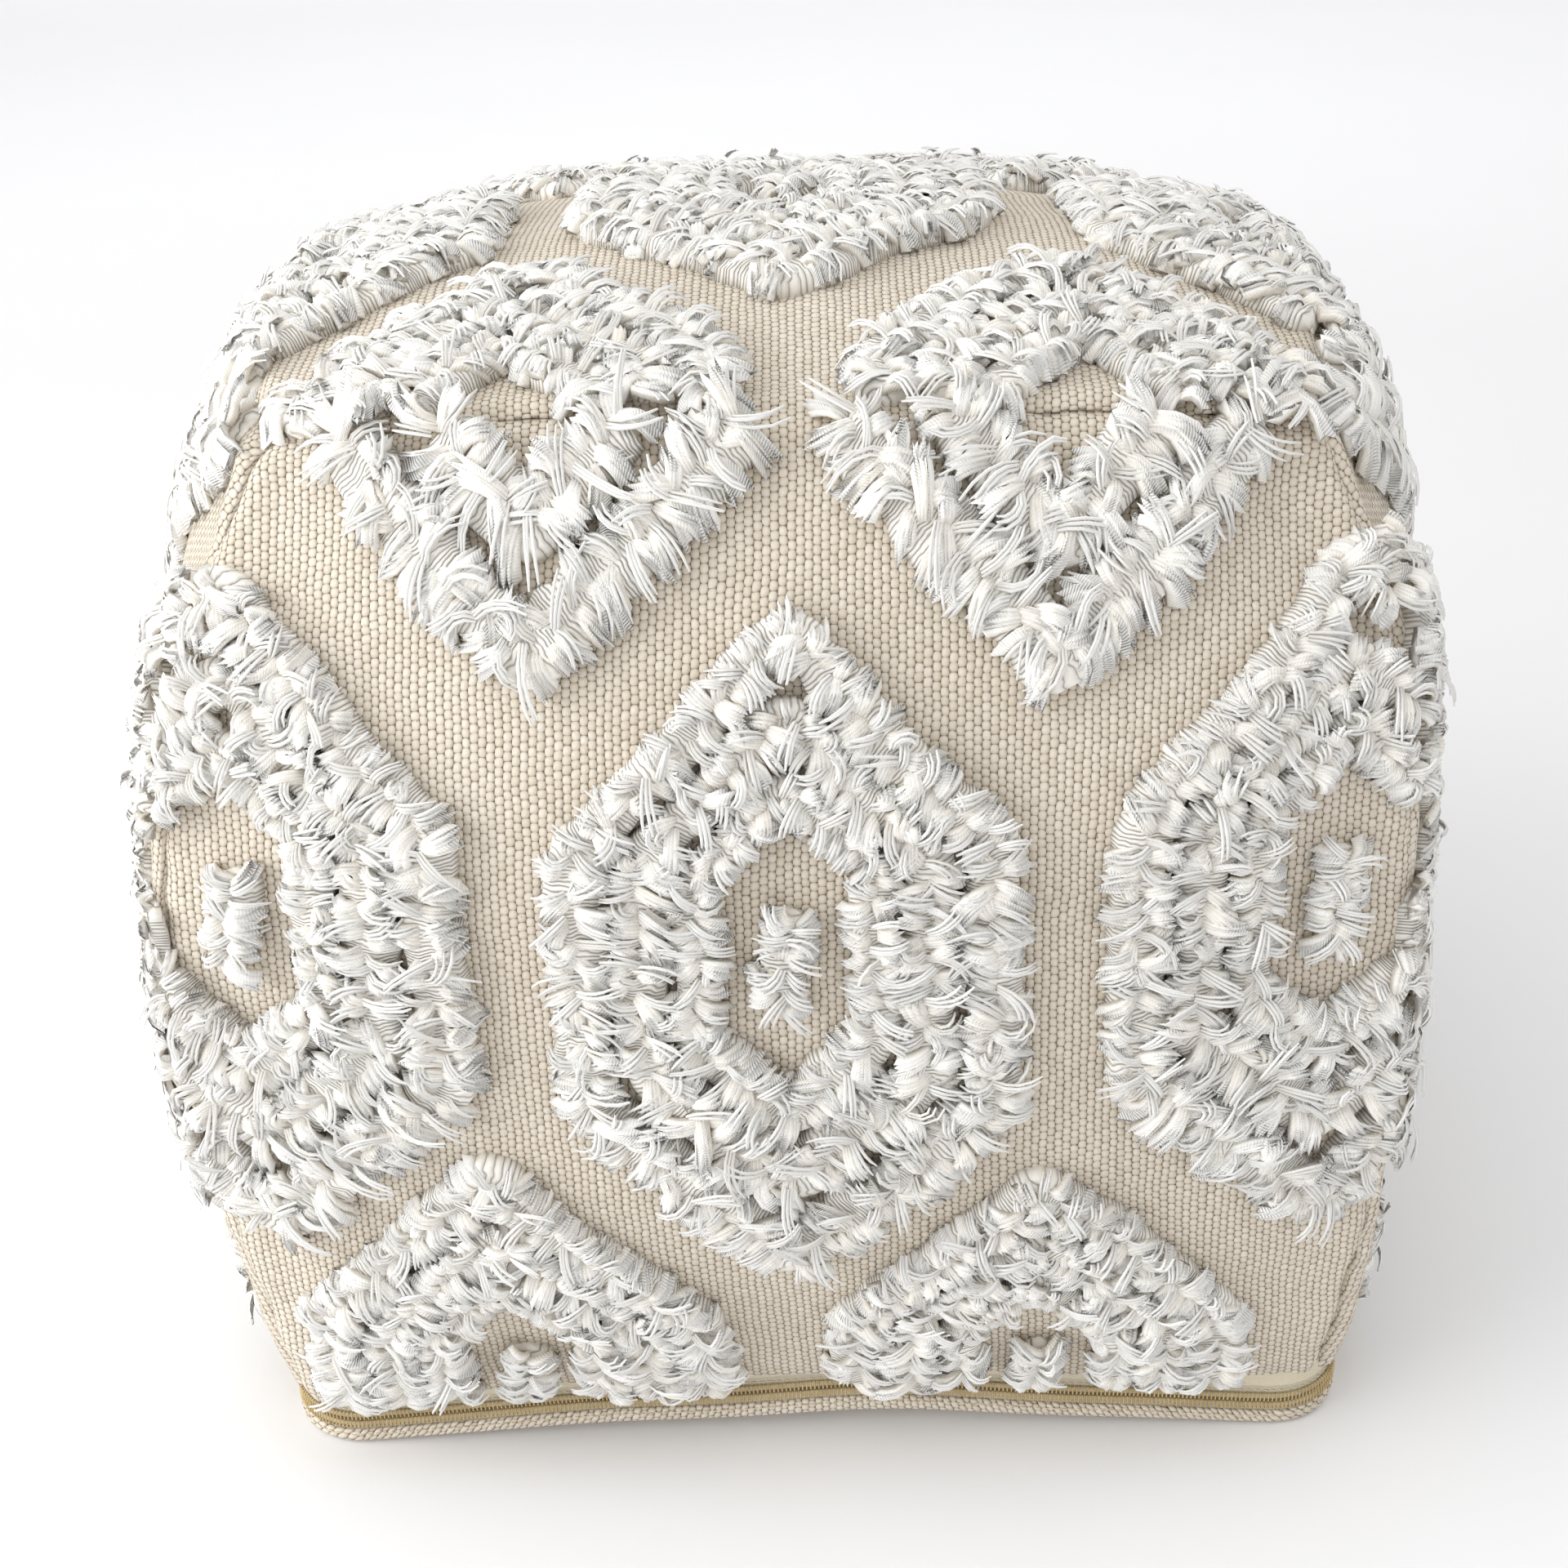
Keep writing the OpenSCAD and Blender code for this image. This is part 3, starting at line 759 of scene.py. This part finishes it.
class Row:
    """A tufted row: its middle line, half width at each point, whether it is a closed ring, and whether
    its outward and inward sides are bare canvas rather than another row."""

    def __init__(self, line, half, closed, bare):
        self.bare = bare
        self.along, self.length, direction = row_frame(line, closed)
        self.line, self.half, self.closed = line, half, closed
        wrap = (lambda v: np.concatenate([v, v[:1]])) if closed else (lambda v: v)
        self.ring, self.turn, self.wide = wrap(line), wrap(direction), wrap(half)
        self.marks = np.concatenate([self.along, [self.length]]) if closed else self.along

    def at(self, place):
        """Middle point, direction and half width at the given lengths along the row."""
        place = place % self.length if self.closed else np.clip(place, 0, self.length)
        ahead = unit(read_along(place, self.marks, self.turn))
        return read_along(place, self.marks, self.ring), ahead, np.interp(place, self.marks, self.wide)

    def leans(self, home, side, draw, spread):
        """How far the yarn at home leans along the row: slow waves and chance, and outwards at an end."""
        wave = ripple(home, side * 20 * MM, 55 * MM, int(draw.integers(1e6)))
        lean = 0.3 * wave + draw.normal(0, spread, len(home))
        if not self.closed:
            start, finish = np.exp(-home / (6 * MM)), np.exp(-(self.length - home) / (6 * MM))
            lean = lean * (1 - start) * (1 - finish) + 0.9 * (finish - start)
        return lean


def wisps(panel, row, draw, ranks, pitch, shares):
    """Yarn ends of a row as wisps by strands by steps by 3, in pattern places and heights. A wisp sets off
    sideways from the row's crest and curls as it goes; its strands lie side by side at the given ranks and
    end at their own lengths. Every other rank of RIDGES is a valley: lower, shorter and darker with painted
    shade. Each point's shade is a random tone for its wisp and strand, with painted shade towards the root."""
    valley = (np.arange(len(ranks)) % 2 == 0) if len(ranks) > 3 else np.zeros(len(ranks), bool)
    count = max(12, 2 * int(row.length / pitch))
    each = (count, len(ranks))
    home = (np.arange(count) + draw.uniform(-0.6, 0.6, count)) * row.length / count
    side = np.where(np.arange(count) % 2 == 0, 1.0, -1.0)
    kind = draw.choice(len(WISP_HEIGHTS), count, p=shares)
    curl = draw.normal(0, 0.75, count) + draw.choice([-0.45, 0.45], count)
    heading = row.leans(home, side, draw, 0.5) - curl * 0.35
    tall = draw.uniform(0.80, 1.06, count) * PILE
    begin = draw.uniform(-0.35, 0.3, count)
    middle, ahead, half = row.at(home)
    reach = half * draw.uniform(0.92, 1.13, count)
    own = np.where(valley, 0.8, draw.uniform(0.84, 1.14, each))
    turn = (heading[:, None] + draw.normal(0, 0.05, each))[..., None] + curl[:, None, None] * STEPS
    step = (reach[:, None] * own * (1.04 - 0.9 * begin[:, None]))[..., None] / 4
    out = np.cumsum(np.cos(turn) * step, -1) - np.cos(turn[..., :1]) * step
    along = np.cumsum(np.sin(turn) * step, -1) - np.sin(turn[..., :1]) * step
    beside = ranks[:, None] * STRAND_PITCH * (0.8 + draw.uniform(0.1, 0.6, (count, 1, 1)) * STEPS)
    out = out + (begin * half * 0.6)[:, None, None] - np.sin(turn) * beside
    along = along + np.cos(turn) * beside
    valleys = [np.where(bare, 0, 0.36) for bare in row.bare]
    heights = WISP_HEIGHTS[kind] + np.where(side > 0, *valleys)[:, None] * STEPS**2
    high = heights[:, None] * tall[:, None, None] - (0.24 * MM * ranks**2 + 0.62 * MM * valley)[:, None]
    high = high + draw.normal(0, 0.22 * MM, each)[..., None] * STEPS
    limit = 1.16 * half[:, None, None]
    out = np.where(out > limit, limit + (out - limit) * 0.3, out)
    flat = middle[:, None, None] + ahead[:, None, None] * along[..., None]
    flat = flat + across_of(ahead)[:, None, None] * (out * side[:, None, None])[..., None]
    if not panel.flat_top:
        flat[..., 1] -= 1.6 * MM * STEPS**2
        over = np.minimum(flat[..., 1] - (HEM + 11 * MM), 0)
        flat[..., 1] -= over * 0.85
        high = high * (1 - 0.35 * np.clip(-over / (9 * MM), 0, 1))
    pattern = np.concatenate([flat, np.maximum(high, 0.6 * MM)[..., None]], -1)
    # Painted shade: darker in the valleys and towards each strand's root, on top of a random tone for each
    # wisp and strand.
    tone_and_painted_shade = draw.uniform(0.5, 0.8, (count, 1)) + draw.uniform(-0.1, 0.15, each) - 0.5 * valley
    return pattern, np.clip(tone_and_painted_shade[..., None] + 0.3 * (STEPS - 0.4), 0, 1)


def closed_sheet(pattern, shade):
    """Packed wisps as rings of points: across the top over ridges and valleys, and back underneath, where
    the shade is halved as painted shade under the sheet.
    """
    under = pattern[:, [-1, 0]] * [1, 1, 0] + (pattern[:, [-1, 0]] - 1.7 * MM) * [0, 0, 1]
    rings = np.swapaxes(np.concatenate([pattern, under], 1), 1, 2)
    return rings, np.swapaxes(np.concatenate([shade, shade[:, [-1, 0]] * 0.5], 1), 1, 2)


def packed_base(row, draw):
    """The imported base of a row: a rounded ridge, lumpy along its length and closed underneath."""
    angle = np.linspace(0, math.pi, 8)
    out_share = np.concatenate([np.cos(angle), [-0.55, 0.55]]) * 0.85
    up_share = np.concatenate([np.sin(angle) ** 0.5, [-0.12, -0.12]])
    seed = int(draw.integers(1e6))
    along = row.along
    wide = row.half * (0.9 + 0.1 * ripple(along, 0 * along, 11 * MM, seed))
    high = PILE * (0.70 + 0.08 * ripple(along, 0 * along, 14 * MM, seed + 1))
    if not row.closed:
        gap = np.clip(np.minimum(along, row.length - along) / (3 * MM), 0, 1)
        taper = np.maximum(np.sqrt(gap * (2 - gap)), 0.02)
        wide, high = wide * taper, high * taper
    out = wide[:, None] * out_share
    up = high[:, None] * up_share * (1 + 0.1 * ripple(along[:, None], out, 6 * MM, seed + 2))
    direction = row.turn[:len(along)]
    flat = row.line[:, None] + across_of(direction)[:, None] * out[..., None]
    pattern = np.concatenate([flat, up[..., None]], -1)
    if row.closed:
        pattern = np.concatenate([pattern, pattern[:1]])
        out = np.concatenate([out, out[:1]])
    return pattern, np.stack([np.broadcast_to(row.marks[:, None], out.shape), out], -1)


def lifted(panel, pattern):
    """Points of a flat pattern with heights, put on the panel's cloth."""
    s, t = panel.place(pattern[..., 0], pattern[..., 1])
    return panel.cloth(s, t, pattern[..., 2])


def motif_rows(panel, centre, draw):
    """The tufted rows of the motif at centre that lie on the panel: three rings and the middle tuft. The
    inner rings sit above the outer one's middle, so rows are narrower over the opening than under it.
    Rows wobble a little, as hand-tufted ones do."""
    rows = []
    seed = int(draw.integers(1e6))
    raised = 0 if panel.flat_top else 15 * MM
    for inset, half in ROW_INSETS:
        bare = (inset == ROW_INSETS[0][0], inset == ROW_INSETS[-1][0])
        line = hexagon_line(inset)
        along, _, direction = row_frame(line, True)
        outwards = across_of(direction)
        wobble = 1.6 * MM * ripple(line[:, 0], line[:, 1], 46 * MM, seed)
        tightness = 0 if panel.flat_top else 0.22
        uneven = 1 + 0.06 * ripple(along, 0 * along, 40 * MM, seed + 1)
        wide = half * (1 - tightness * outwards[:, 1]) * uneven
        reach_up = 0.5 * raised * np.clip(line[:, 1] / (MOTIF_H / 2), 0, 1) ** 2
        line = line + outwards * wobble[:, None] + centre + np.array([0, raised * inset / (54 * MM)])
        line[:, 1] += reach_up
        inside = panel.holds(line[:, 0], line[:, 1], 0.8 * MM)
        inside &= panel.flat_top | (line[:, 1] > HEM + PILE_FOOT)
        if inside.any():
            rows += [Row(line[order], wide[order], closed, bare) for order, closed in runs(inside)]
        seed += 3
    tall = np.linspace(-1, 1, 12) * (DOT_H - DOT_W * 0.7) / 2
    line = centre + np.stack([1.5 * MM * np.sin(tall / (7 * MM)), tall + raised], -1)
    inside = panel.holds(line[:, 0], line[:, 1], 3 * MM)
    if inside.sum() > 3:
        rows.append(Row(line[inside], np.full(inside.sum(), DOT_W * 0.46), False, (True, True)))
    return rows


class Heap:
    """Points and faces of a piece as they are added, with uv and shade for each point."""

    def __init__(self):
        self.points, self.uvs, self.shades, self.count = [], [], [], 0

    def add(self, points, uv, shade):
        """Adds points and returns the number of the first."""
        start, total = self.count, points.size // 3
        self.points.append(points.reshape(-1, 3))
        self.uvs.append(np.broadcast_to(uv, points.shape[:-1] + (2,)).reshape(-1, 2))
        self.shades.append(np.broadcast_to(shade, points.shape[:-1]).ravel())
        self.count += total
        return start


def lengths(paths):
    """Length along each path up to each of its points, the steps being the second axis."""
    gaps = np.linalg.norm(np.diff(paths, axis=1), axis=-1)
    return np.concatenate([np.zeros_like(gaps[:, :1]), np.cumsum(gaps, axis=1)], 1)


# millimetres by which the front's motifs were tufted off their places, across and up; others differ by
# chance
OFF_PLACE = {"front_center": (0, -4), "front_left": (1, 3), "front_right": (-1, 2), "front_top_left": (9, 9),
             "front_top_right": (-5, 5), "front_bottom_left": (-12, 8), "front_bottom_right": (-7, 2)}


def motif_piece(panel, place, column, tier, draw):
    """One motif on one panel, in one piece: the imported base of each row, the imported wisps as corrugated
    sheets over it, and the loose wisps as thin tubes on top."""
    middle = 0.0 if panel.flat_top else ROW_MIDDLE
    off_place = np.array(OFF_PLACE.get(f"{panel.name}_{place}", draw.normal(0, 2.5, 2))) * MM
    centre = np.array([column * COLUMN_PITCH, middle + tier * ROW_PITCH]) + off_place
    rows = motif_rows(panel, centre, draw)
    heap, packed = Heap(), []
    for row in rows:
        pattern, uv = packed_base(row, draw)
        start = heap.add(lifted(panel, pattern), uv, 0.5)
        packed.append(grid_faces(*pattern.shape[:2], around=True, start=start)[:, ::-1])
    sheets, sheet_ends = [], []
    for row in rows:
        pattern, shade = closed_sheet(*wisps(panel, row, draw, RIDGES, PACKED_PITCH, PACKED_SHARES))
        rings = lifted(panel, pattern)
        around = rings.shape[2]
        across = np.broadcast_to(np.arange(around) * STRAND_PITCH / 2, rings.shape[:3])
        uv = np.stack([across, lengths(rings)], -1)
        quads, ends = tube_faces(len(rings), len(STEPS), around, heap.add(rings, uv, shade))
        flip = anticlockwise(rings)[:, None, None]
        for faces, kept in ((quads, sheets), (ends, sheet_ends)):
            faces = faces.reshape(len(rings), -1, faces.shape[1])
            kept.append(np.where(flip, faces[..., ::-1], faces).reshape(-1, faces.shape[2]))
    tubes, caps, softs = [], [], []
    for row in rows:
        pattern, shade = wisps(panel, row, draw, LOOSE, LOOSE_PITCH, LOOSE_SHARES)
        pattern, shade = pattern.reshape(-1, len(STEPS), 3), shade.reshape(-1, len(STEPS))
        paths = lifted(panel, pattern)
        s, t = panel.place(pattern[:, 0, 0], pattern[:, 0, 1])
        up = turned(panel.normal(s, t), panel.quarter)
        thick = YARN_R * draw.uniform(0.85, 1.12, (len(paths), 1)) * np.array([0.85, 1.0, 1.0, 0.92, 0.6])
        rings = tube_points(paths, thick, up)
        uv = np.stack(np.broadcast_arrays(np.array([0, 1, 2]) * 1.4 * MM, lengths(paths)[..., None]), -1)
        quads, ends = tube_faces(len(paths), len(STEPS), start=heap.add(rings, uv, shade[..., None]))
        tubes.append(quads)
        caps.append(ends)
        softs.append(unit(unit(rings - paths[:, :, None]) * 0.8 + up[:, None, None] * 0.3).reshape(-1, 3))
    node = f"{panel.name}_tuft_{place}"
    return make_piece(f"{node}_pile", np.concatenate(heap.points),
                      [np.concatenate(sets) for sets in (packed, sheets, sheet_ends, tubes, caps)],
                      [MAT, YARN], uv=np.concatenate(heap.uvs), shade=np.concatenate(heap.shades),
                      soft=np.concatenate(softs), stands_for=[node])


WALL_PLACES = (("center", 0, 0), ("left", -1, 0), ("right", 1, 0), ("top_left", -0.5, 1),
               ("top_right", 0.5, 1), ("bottom_left", -0.5, -1), ("bottom_right", 0.5, -1))
TOP_PLACES = (("center", 0, 0), ("left", -1, 0), ("right", 1, 0), ("front_left", -0.5, -1),
              ("front_right", 0.5, -1), ("rear_left", -0.5, 1), ("rear_right", 0.5, 1))

for panel in PANELS:
    draw = np.random.default_rng(900 + panel.seed)
    places = TOP_PLACES if panel.flat_top else WALL_PLACES
    tufts = [motif_piece(panel, place, column, row, draw) for place, column, row in places]
    panel_piece(panel)

# ---- base and zip ----


def base_outline(step=1.5 * MM):
    """The base's round-cornered outline, anticlockwise from the rear end of the left side: points, outward
    directions, length along it and how far the zip is lifted there."""
    straight = MID_BASE - CORNER_R
    quarter = np.linspace(0, math.pi / 2, 22)[1:-1]
    side = np.arange(-straight, straight + step / 2, step)
    places, outs, lifts = [], [], []
    for number, name in ((3, "left"), (0, "front"), (1, "right"), (2, "back")):
        place = np.stack([side, np.full_like(side, -MID_BASE), 0 * side], -1)
        out = np.broadcast_to([0, -1.0, 0], place.shape)
        arc = np.stack([np.sin(quarter), -np.cos(quarter), 0 * quarter], -1)
        bend = arc * CORNER_R + np.array([straight, -straight, 0])
        places.append(turned(np.concatenate([place, bend]), number))
        outs.append(turned(np.concatenate([out, arc]), number))
        lifts.append(np.concatenate([zip_lift(side, name), 0 * quarter]))
    places, outs, lifts = np.concatenate(places), np.concatenate(outs), np.concatenate(lifts)
    steps = np.linalg.norm(np.diff(places, axis=0), axis=1)
    return places, outs, np.concatenate([[0], np.cumsum(steps)]), lifts


outline, outward, outline_along, outline_lift = base_outline()


def along_zip(end_y):
    """The base's outline as far back as end_y: points, outward directions, length along it and lift."""
    keep = outline[:, 1] <= end_y
    return outline[keep], outward[keep], outline_along[keep], outline_lift[keep]


def strip(profile, place, out, lift):
    """Points and faces of a closed strip that carries a profile of (distance inside the outline, height)
    along the zip."""
    points = place[:, None] - out[:, None] * profile[:, :1]
    points[..., 2] = profile[:, 1] + lift[:, None]
    count, n = len(place), len(profile)
    ends = np.stack([np.arange(n)[::-1], (count - 1) * n + np.arange(n)])
    return points, [grid_faces(count, n, around=True)[:, ::-1], ends[:, ::-1]]


def zip_tape(name, low, high, node):
    """One zip tape: a thin flat strip from the height low to high."""
    profile = round_profile(TAPE_IN + TAPE_T, TAPE_IN, low, high, 14, 8)
    place, out, along, lift = along_zip(TAPE_END_Y)
    points, faces = strip(profile, place, out, lift)
    edge = np.linalg.norm(np.diff(profile, axis=0, append=profile[:1]), axis=1)
    up = np.concatenate([[0], np.cumsum(edge)[:-1]])
    uv = np.stack(np.broadcast_arrays(along[:, None], up), -1)
    return make_piece(name, points, faces, [TAPE], uv=uv, stands_for=[node])


def round_profile(inside, outside, low, high, n=10, power=4.0):
    """A rounded box profile, anticlockwise seen from the end of the strip: a superellipse."""
    angle = np.arange(n) * math.tau / n
    c, s = np.cos(angle), np.sin(angle)
    x = (inside + outside) / 2 - (inside - outside) / 2 * np.sign(c) * np.abs(c) ** (2 / power)
    z = (low + high) / 2 + (high - low) / 2 * np.sign(s) * np.abs(s) ** (2 / power)
    return np.stack([x, z], -1)


zip_tape("zip_upper_tape_strip", upper_coil_low[2] - 0.4 * MM, HEM + 4 * MM, "zip_upper_tape")
zip_tape("zip_lower_tape_strip", base_low[2] + 2.5 * MM, lower_coil_high[2] + 0.4 * MM, "zip_lower_tape")


def coil_row(name, low, high, upwards, node):
    """One row of coil: a bed of thread with a loop of moulded coil at each pitch, reaching to the middle."""
    place, out, along, lift = along_zip(ZIP_END_Y)
    profile = round_profile(TAPE_IN, TAPE_IN - 0.75 * MM, low + 0.15 * MM, high - 0.15 * MM, 8, 3)
    bed, bed_faces = strip(profile, place, out, lift)
    pitch = 1.46 * MM
    at = np.arange(along[0] + pitch, along[-1] - pitch, pitch) + (pitch / 2 if upwards else 0)
    spot, face = read_along(at, along, place), unit(read_along(at, along, out))
    raised = np.interp(at, along, lift)
    tip, root = (low, high) if upwards else (high, low)
    reach = np.array([-0.05, 0.1, 0.5, 0.9, 1.08, 1.08])
    stand = np.array([0.2, 0.95, 1.0, 1.0, 0.75, 0.1]) * (COIL_T - 0.02 * MM)
    paths = spot[:, None] + face[:, None] * (stand - TAPE_IN)[:, None]
    paths[..., 2] = root + (tip - root) * reach + raised[:, None]
    side = unit(np.cross(face, [0, 0, 1.0]))
    rings = tube_points(paths, np.full(paths.shape[:2], 0.42 * MM), side, sides=4)
    start = bed.size // 3
    quads, caps = tube_faces(len(paths), len(reach), sides=4, start=start)
    return make_piece(name, np.concatenate([bed.reshape(-1, 3), rings.reshape(-1, 3)]),
                      [*bed_faces, np.concatenate([quads, caps])], [THREAD, THREAD, COIL],
                      stands_for=[node], uv=np.zeros((start + rings.size // 3, 2)))


coil_row("zip_upper_coil_loops", upper_coil_low[2], upper_coil_high[2], True, "zip_upper_coil")
coil_row("zip_lower_coil_loops", lower_coil_low[2], lower_coil_high[2], False, "zip_lower_coil")


def stitch_line(name, inside, height):
    """A run of short stitches along the zip, each a small arched capsule."""
    place, out, along, lift = along_zip(ZIP_END_Y)
    pitch, length = 2.9 * MM, 2.1 * MM
    at = np.arange(along[0] + pitch, along[-1] - pitch, pitch)[:, None] + np.linspace(-0.5, 0.5, 4) * length
    spot, face = read_along(at, along, place), read_along(at, along, out)
    arch = np.array([-0.1, 0.28, 0.28, -0.1]) * MM
    paths = spot + face * (arch - inside)[:, None]
    paths[..., 2] = height + np.interp(at, along, lift)
    rings = tube_points(paths, np.full(paths.shape[:2], 0.24 * MM), face[:, 0], sides=4)
    quads, caps = tube_faces(len(paths), len(arch), sides=4)
    return make_piece(name, rings, [np.concatenate([quads, caps])], [THREAD])


stitch_line("zip_upper_stitches", TAPE_IN, upper_coil_high[2] + 1.2 * MM)
stitch_line("base_rim_stitches", 0.0, lower_coil_low[2] - 2.9 * MM)


def base_piece():
    """The base: canvas flat on the floor, its edge rounded up to the zip, and up to the rear wall's seam
    behind. Rings of points run from the turned-in top edge down and in to the middle."""
    rear = np.clip((outline[:, 1] - TAPE_END_Y + 4 * MM) / (4 * MM), 0, 1)
    rim = lower_coil_low[2] - 1.8 * MM
    top = rim + (HEM + 0.6 * MM - rim) * rear
    levels = [(3.2, 1.0, -2.0), (2.2, 1.0, 0.2), (0.9, 1.0, 0.5), (0.15, 1.0, -0.3), (0.0, 0.8, 0.0),
              (0.0, 0.55, 0.0), (0.3, 0.3, 0.0), (1.2, 0.12, 0.0), (2.8, 0.02, 0.0), (6.0, 0.0, 0.0)]
    lifts = [1, 1, 1, 1, 1, 1, 0.95, 0.9, 0.84, 0.74]
    rings = []
    for (inside, share, more), lift in zip(levels, lifts):
        ring = outline - outward * inside * MM
        ring[:, 2] = top * share + more * MM + outline_lift * lift
        rings.append(ring)
    for share, lift in ((0.94, 0.5), (0.86, 0.25), (0.74, 0.07), (0.6, 0), (0.4, 0), (0.2, 0), (0.0, 0)):
        ring = (outline - outward * 6 * MM) * share
        ring[:, 2] = outline_lift * lift
        rings.append(ring)
    points = np.maximum(np.stack(rings), np.array([-1, -1, 0.0]))
    gone = np.concatenate([np.zeros((1, len(outline))),
                           np.cumsum(np.linalg.norm(np.diff(points, axis=0), axis=2), axis=0)])
    flat = outline - outward * 6 * MM
    uv = (flat / np.linalg.norm(flat, axis=1, keepdims=True))[None, :, :2] * (gone[-1] - gone)[..., None]
    faces = grid_faces(len(rings), len(outline), around=True)
    made = make_piece("base_panel_cloth", points, [faces[:, ::-1]], [CANVAS], uv=uv,
                      stands_for=["base_panel"])
    side = 2 * MID_BASE + 20 * MM
    return made


base_piece()

for name in ("zip_slider", "zip_pull", "zip_top_stops", "zip_bottom_stop"):
    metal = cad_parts[name]
    for place in metal.material_slots:
        place.material = BRASS

# ---- floor, light and camera ----


def studio():
    """A pale floor that curves up into a backdrop, as one sheet swept along x."""
    f = Finish("pale_backdrop", Roughness=0.9, Specular_IOR_Level=0.1)
    cloud = f.noise(f.object_place(), 2.0)
    f.feed("Base Color", f.mix(cloud, colour(236, 236, 237), colour(240, 240, 241)))
    bend = np.linspace(0, math.pi / 2, 24)
    y = np.concatenate([[-6.0], 3.0 + 1.5 * np.sin(bend), [4.5]])
    z = np.concatenate([[0.0], 1.5 - 1.5 * np.cos(bend), [7.0]])
    x = np.linspace(-8, 8, 9)
    points = np.stack(np.broadcast_arrays(x[None, :], y[:, None], z[:, None] - 0.3 * MM), -1)
    mesh = bpy.data.meshes.new("backdrop")
    mesh.from_pydata(points.reshape(-1, 3).tolist(), [], grid_faces(len(y), len(x)).tolist())
    mesh.polygons.foreach_set("use_smooth", np.ones(len(mesh.polygons), bool))
    mesh.materials.append(f.material)
    floor = bpy.data.objects.new("backdrop", mesh)
    bpy.context.collection.objects.link(floor)


def area_light(name, place, aim, size, power):
    """A round soft light at a place, turned towards its aim."""
    lamp = bpy.data.lights.new(name, "AREA")
    lamp.shape, lamp.size, lamp.energy = "DISK", size, power
    made = bpy.data.objects.new(name, lamp)
    made.location = place
    back = unit(np.array(place, float) - np.array(aim, float))
    yaw, tilt = math.atan2(back[1], back[0]), math.acos(back[2])
    made.rotation_euler = (0, tilt, yaw)
    bpy.context.collection.objects.link(made)


def camera():
    """Looks down at the front from a little above, with a slight roll."""
    rise, turn, roll, away = math.radians(25.3), math.radians(0.6), math.radians(-1.6), 0.942
    aim = np.array([0, 0, 0.2])
    back = np.array([math.sin(turn) * math.cos(rise), -math.cos(turn) * math.cos(rise), math.sin(rise)])
    right = unit(np.cross(-back, [0, 0, 1.0]))
    up = np.cross(back, right)
    right, up = right * math.cos(roll) + up * math.sin(roll), up * math.cos(roll) - right * math.sin(roll)
    data = bpy.data.cameras.new("camera")
    data.lens, data.sensor_width = 54.49, 36
    data.shift_x, data.shift_y = -0.0115, -0.0484
    data.clip_start = 0.01
    made = bpy.data.objects.new("camera", data)
    bpy.context.collection.objects.link(made)
    place = aim + back * away
    made.matrix_world = Matrix([[*row, p] for row, p in zip(np.stack([right, up, back], 1).tolist(), place)]
                               + [[0, 0, 0, 1]])
    bpy.context.scene.camera = made


studio()
area_light("left", (-2.2, -0.9, 1.0), (0, 0, 0.2), 2.4, 48)
area_light("above", (-0.4, -0.4, 2.4), (0, 0, 0.2), 2.4, 10)
area_light("behind", (0, 1.6, 2.2), (0, 4.5, 1.6), 2.5, 16)
camera()

world = bpy.data.worlds.new("soft_white")
world.use_nodes = True
world.node_tree.nodes["Background"].inputs[0].default_value = (1, 1, 1, 1)
world.node_tree.nodes["Background"].inputs[1].default_value = 0.90
bpy.context.scene.world = world
bpy.context.scene.view_settings.view_transform = "Standard"
bpy.context.scene.cycles.diffuse_bounces = 8
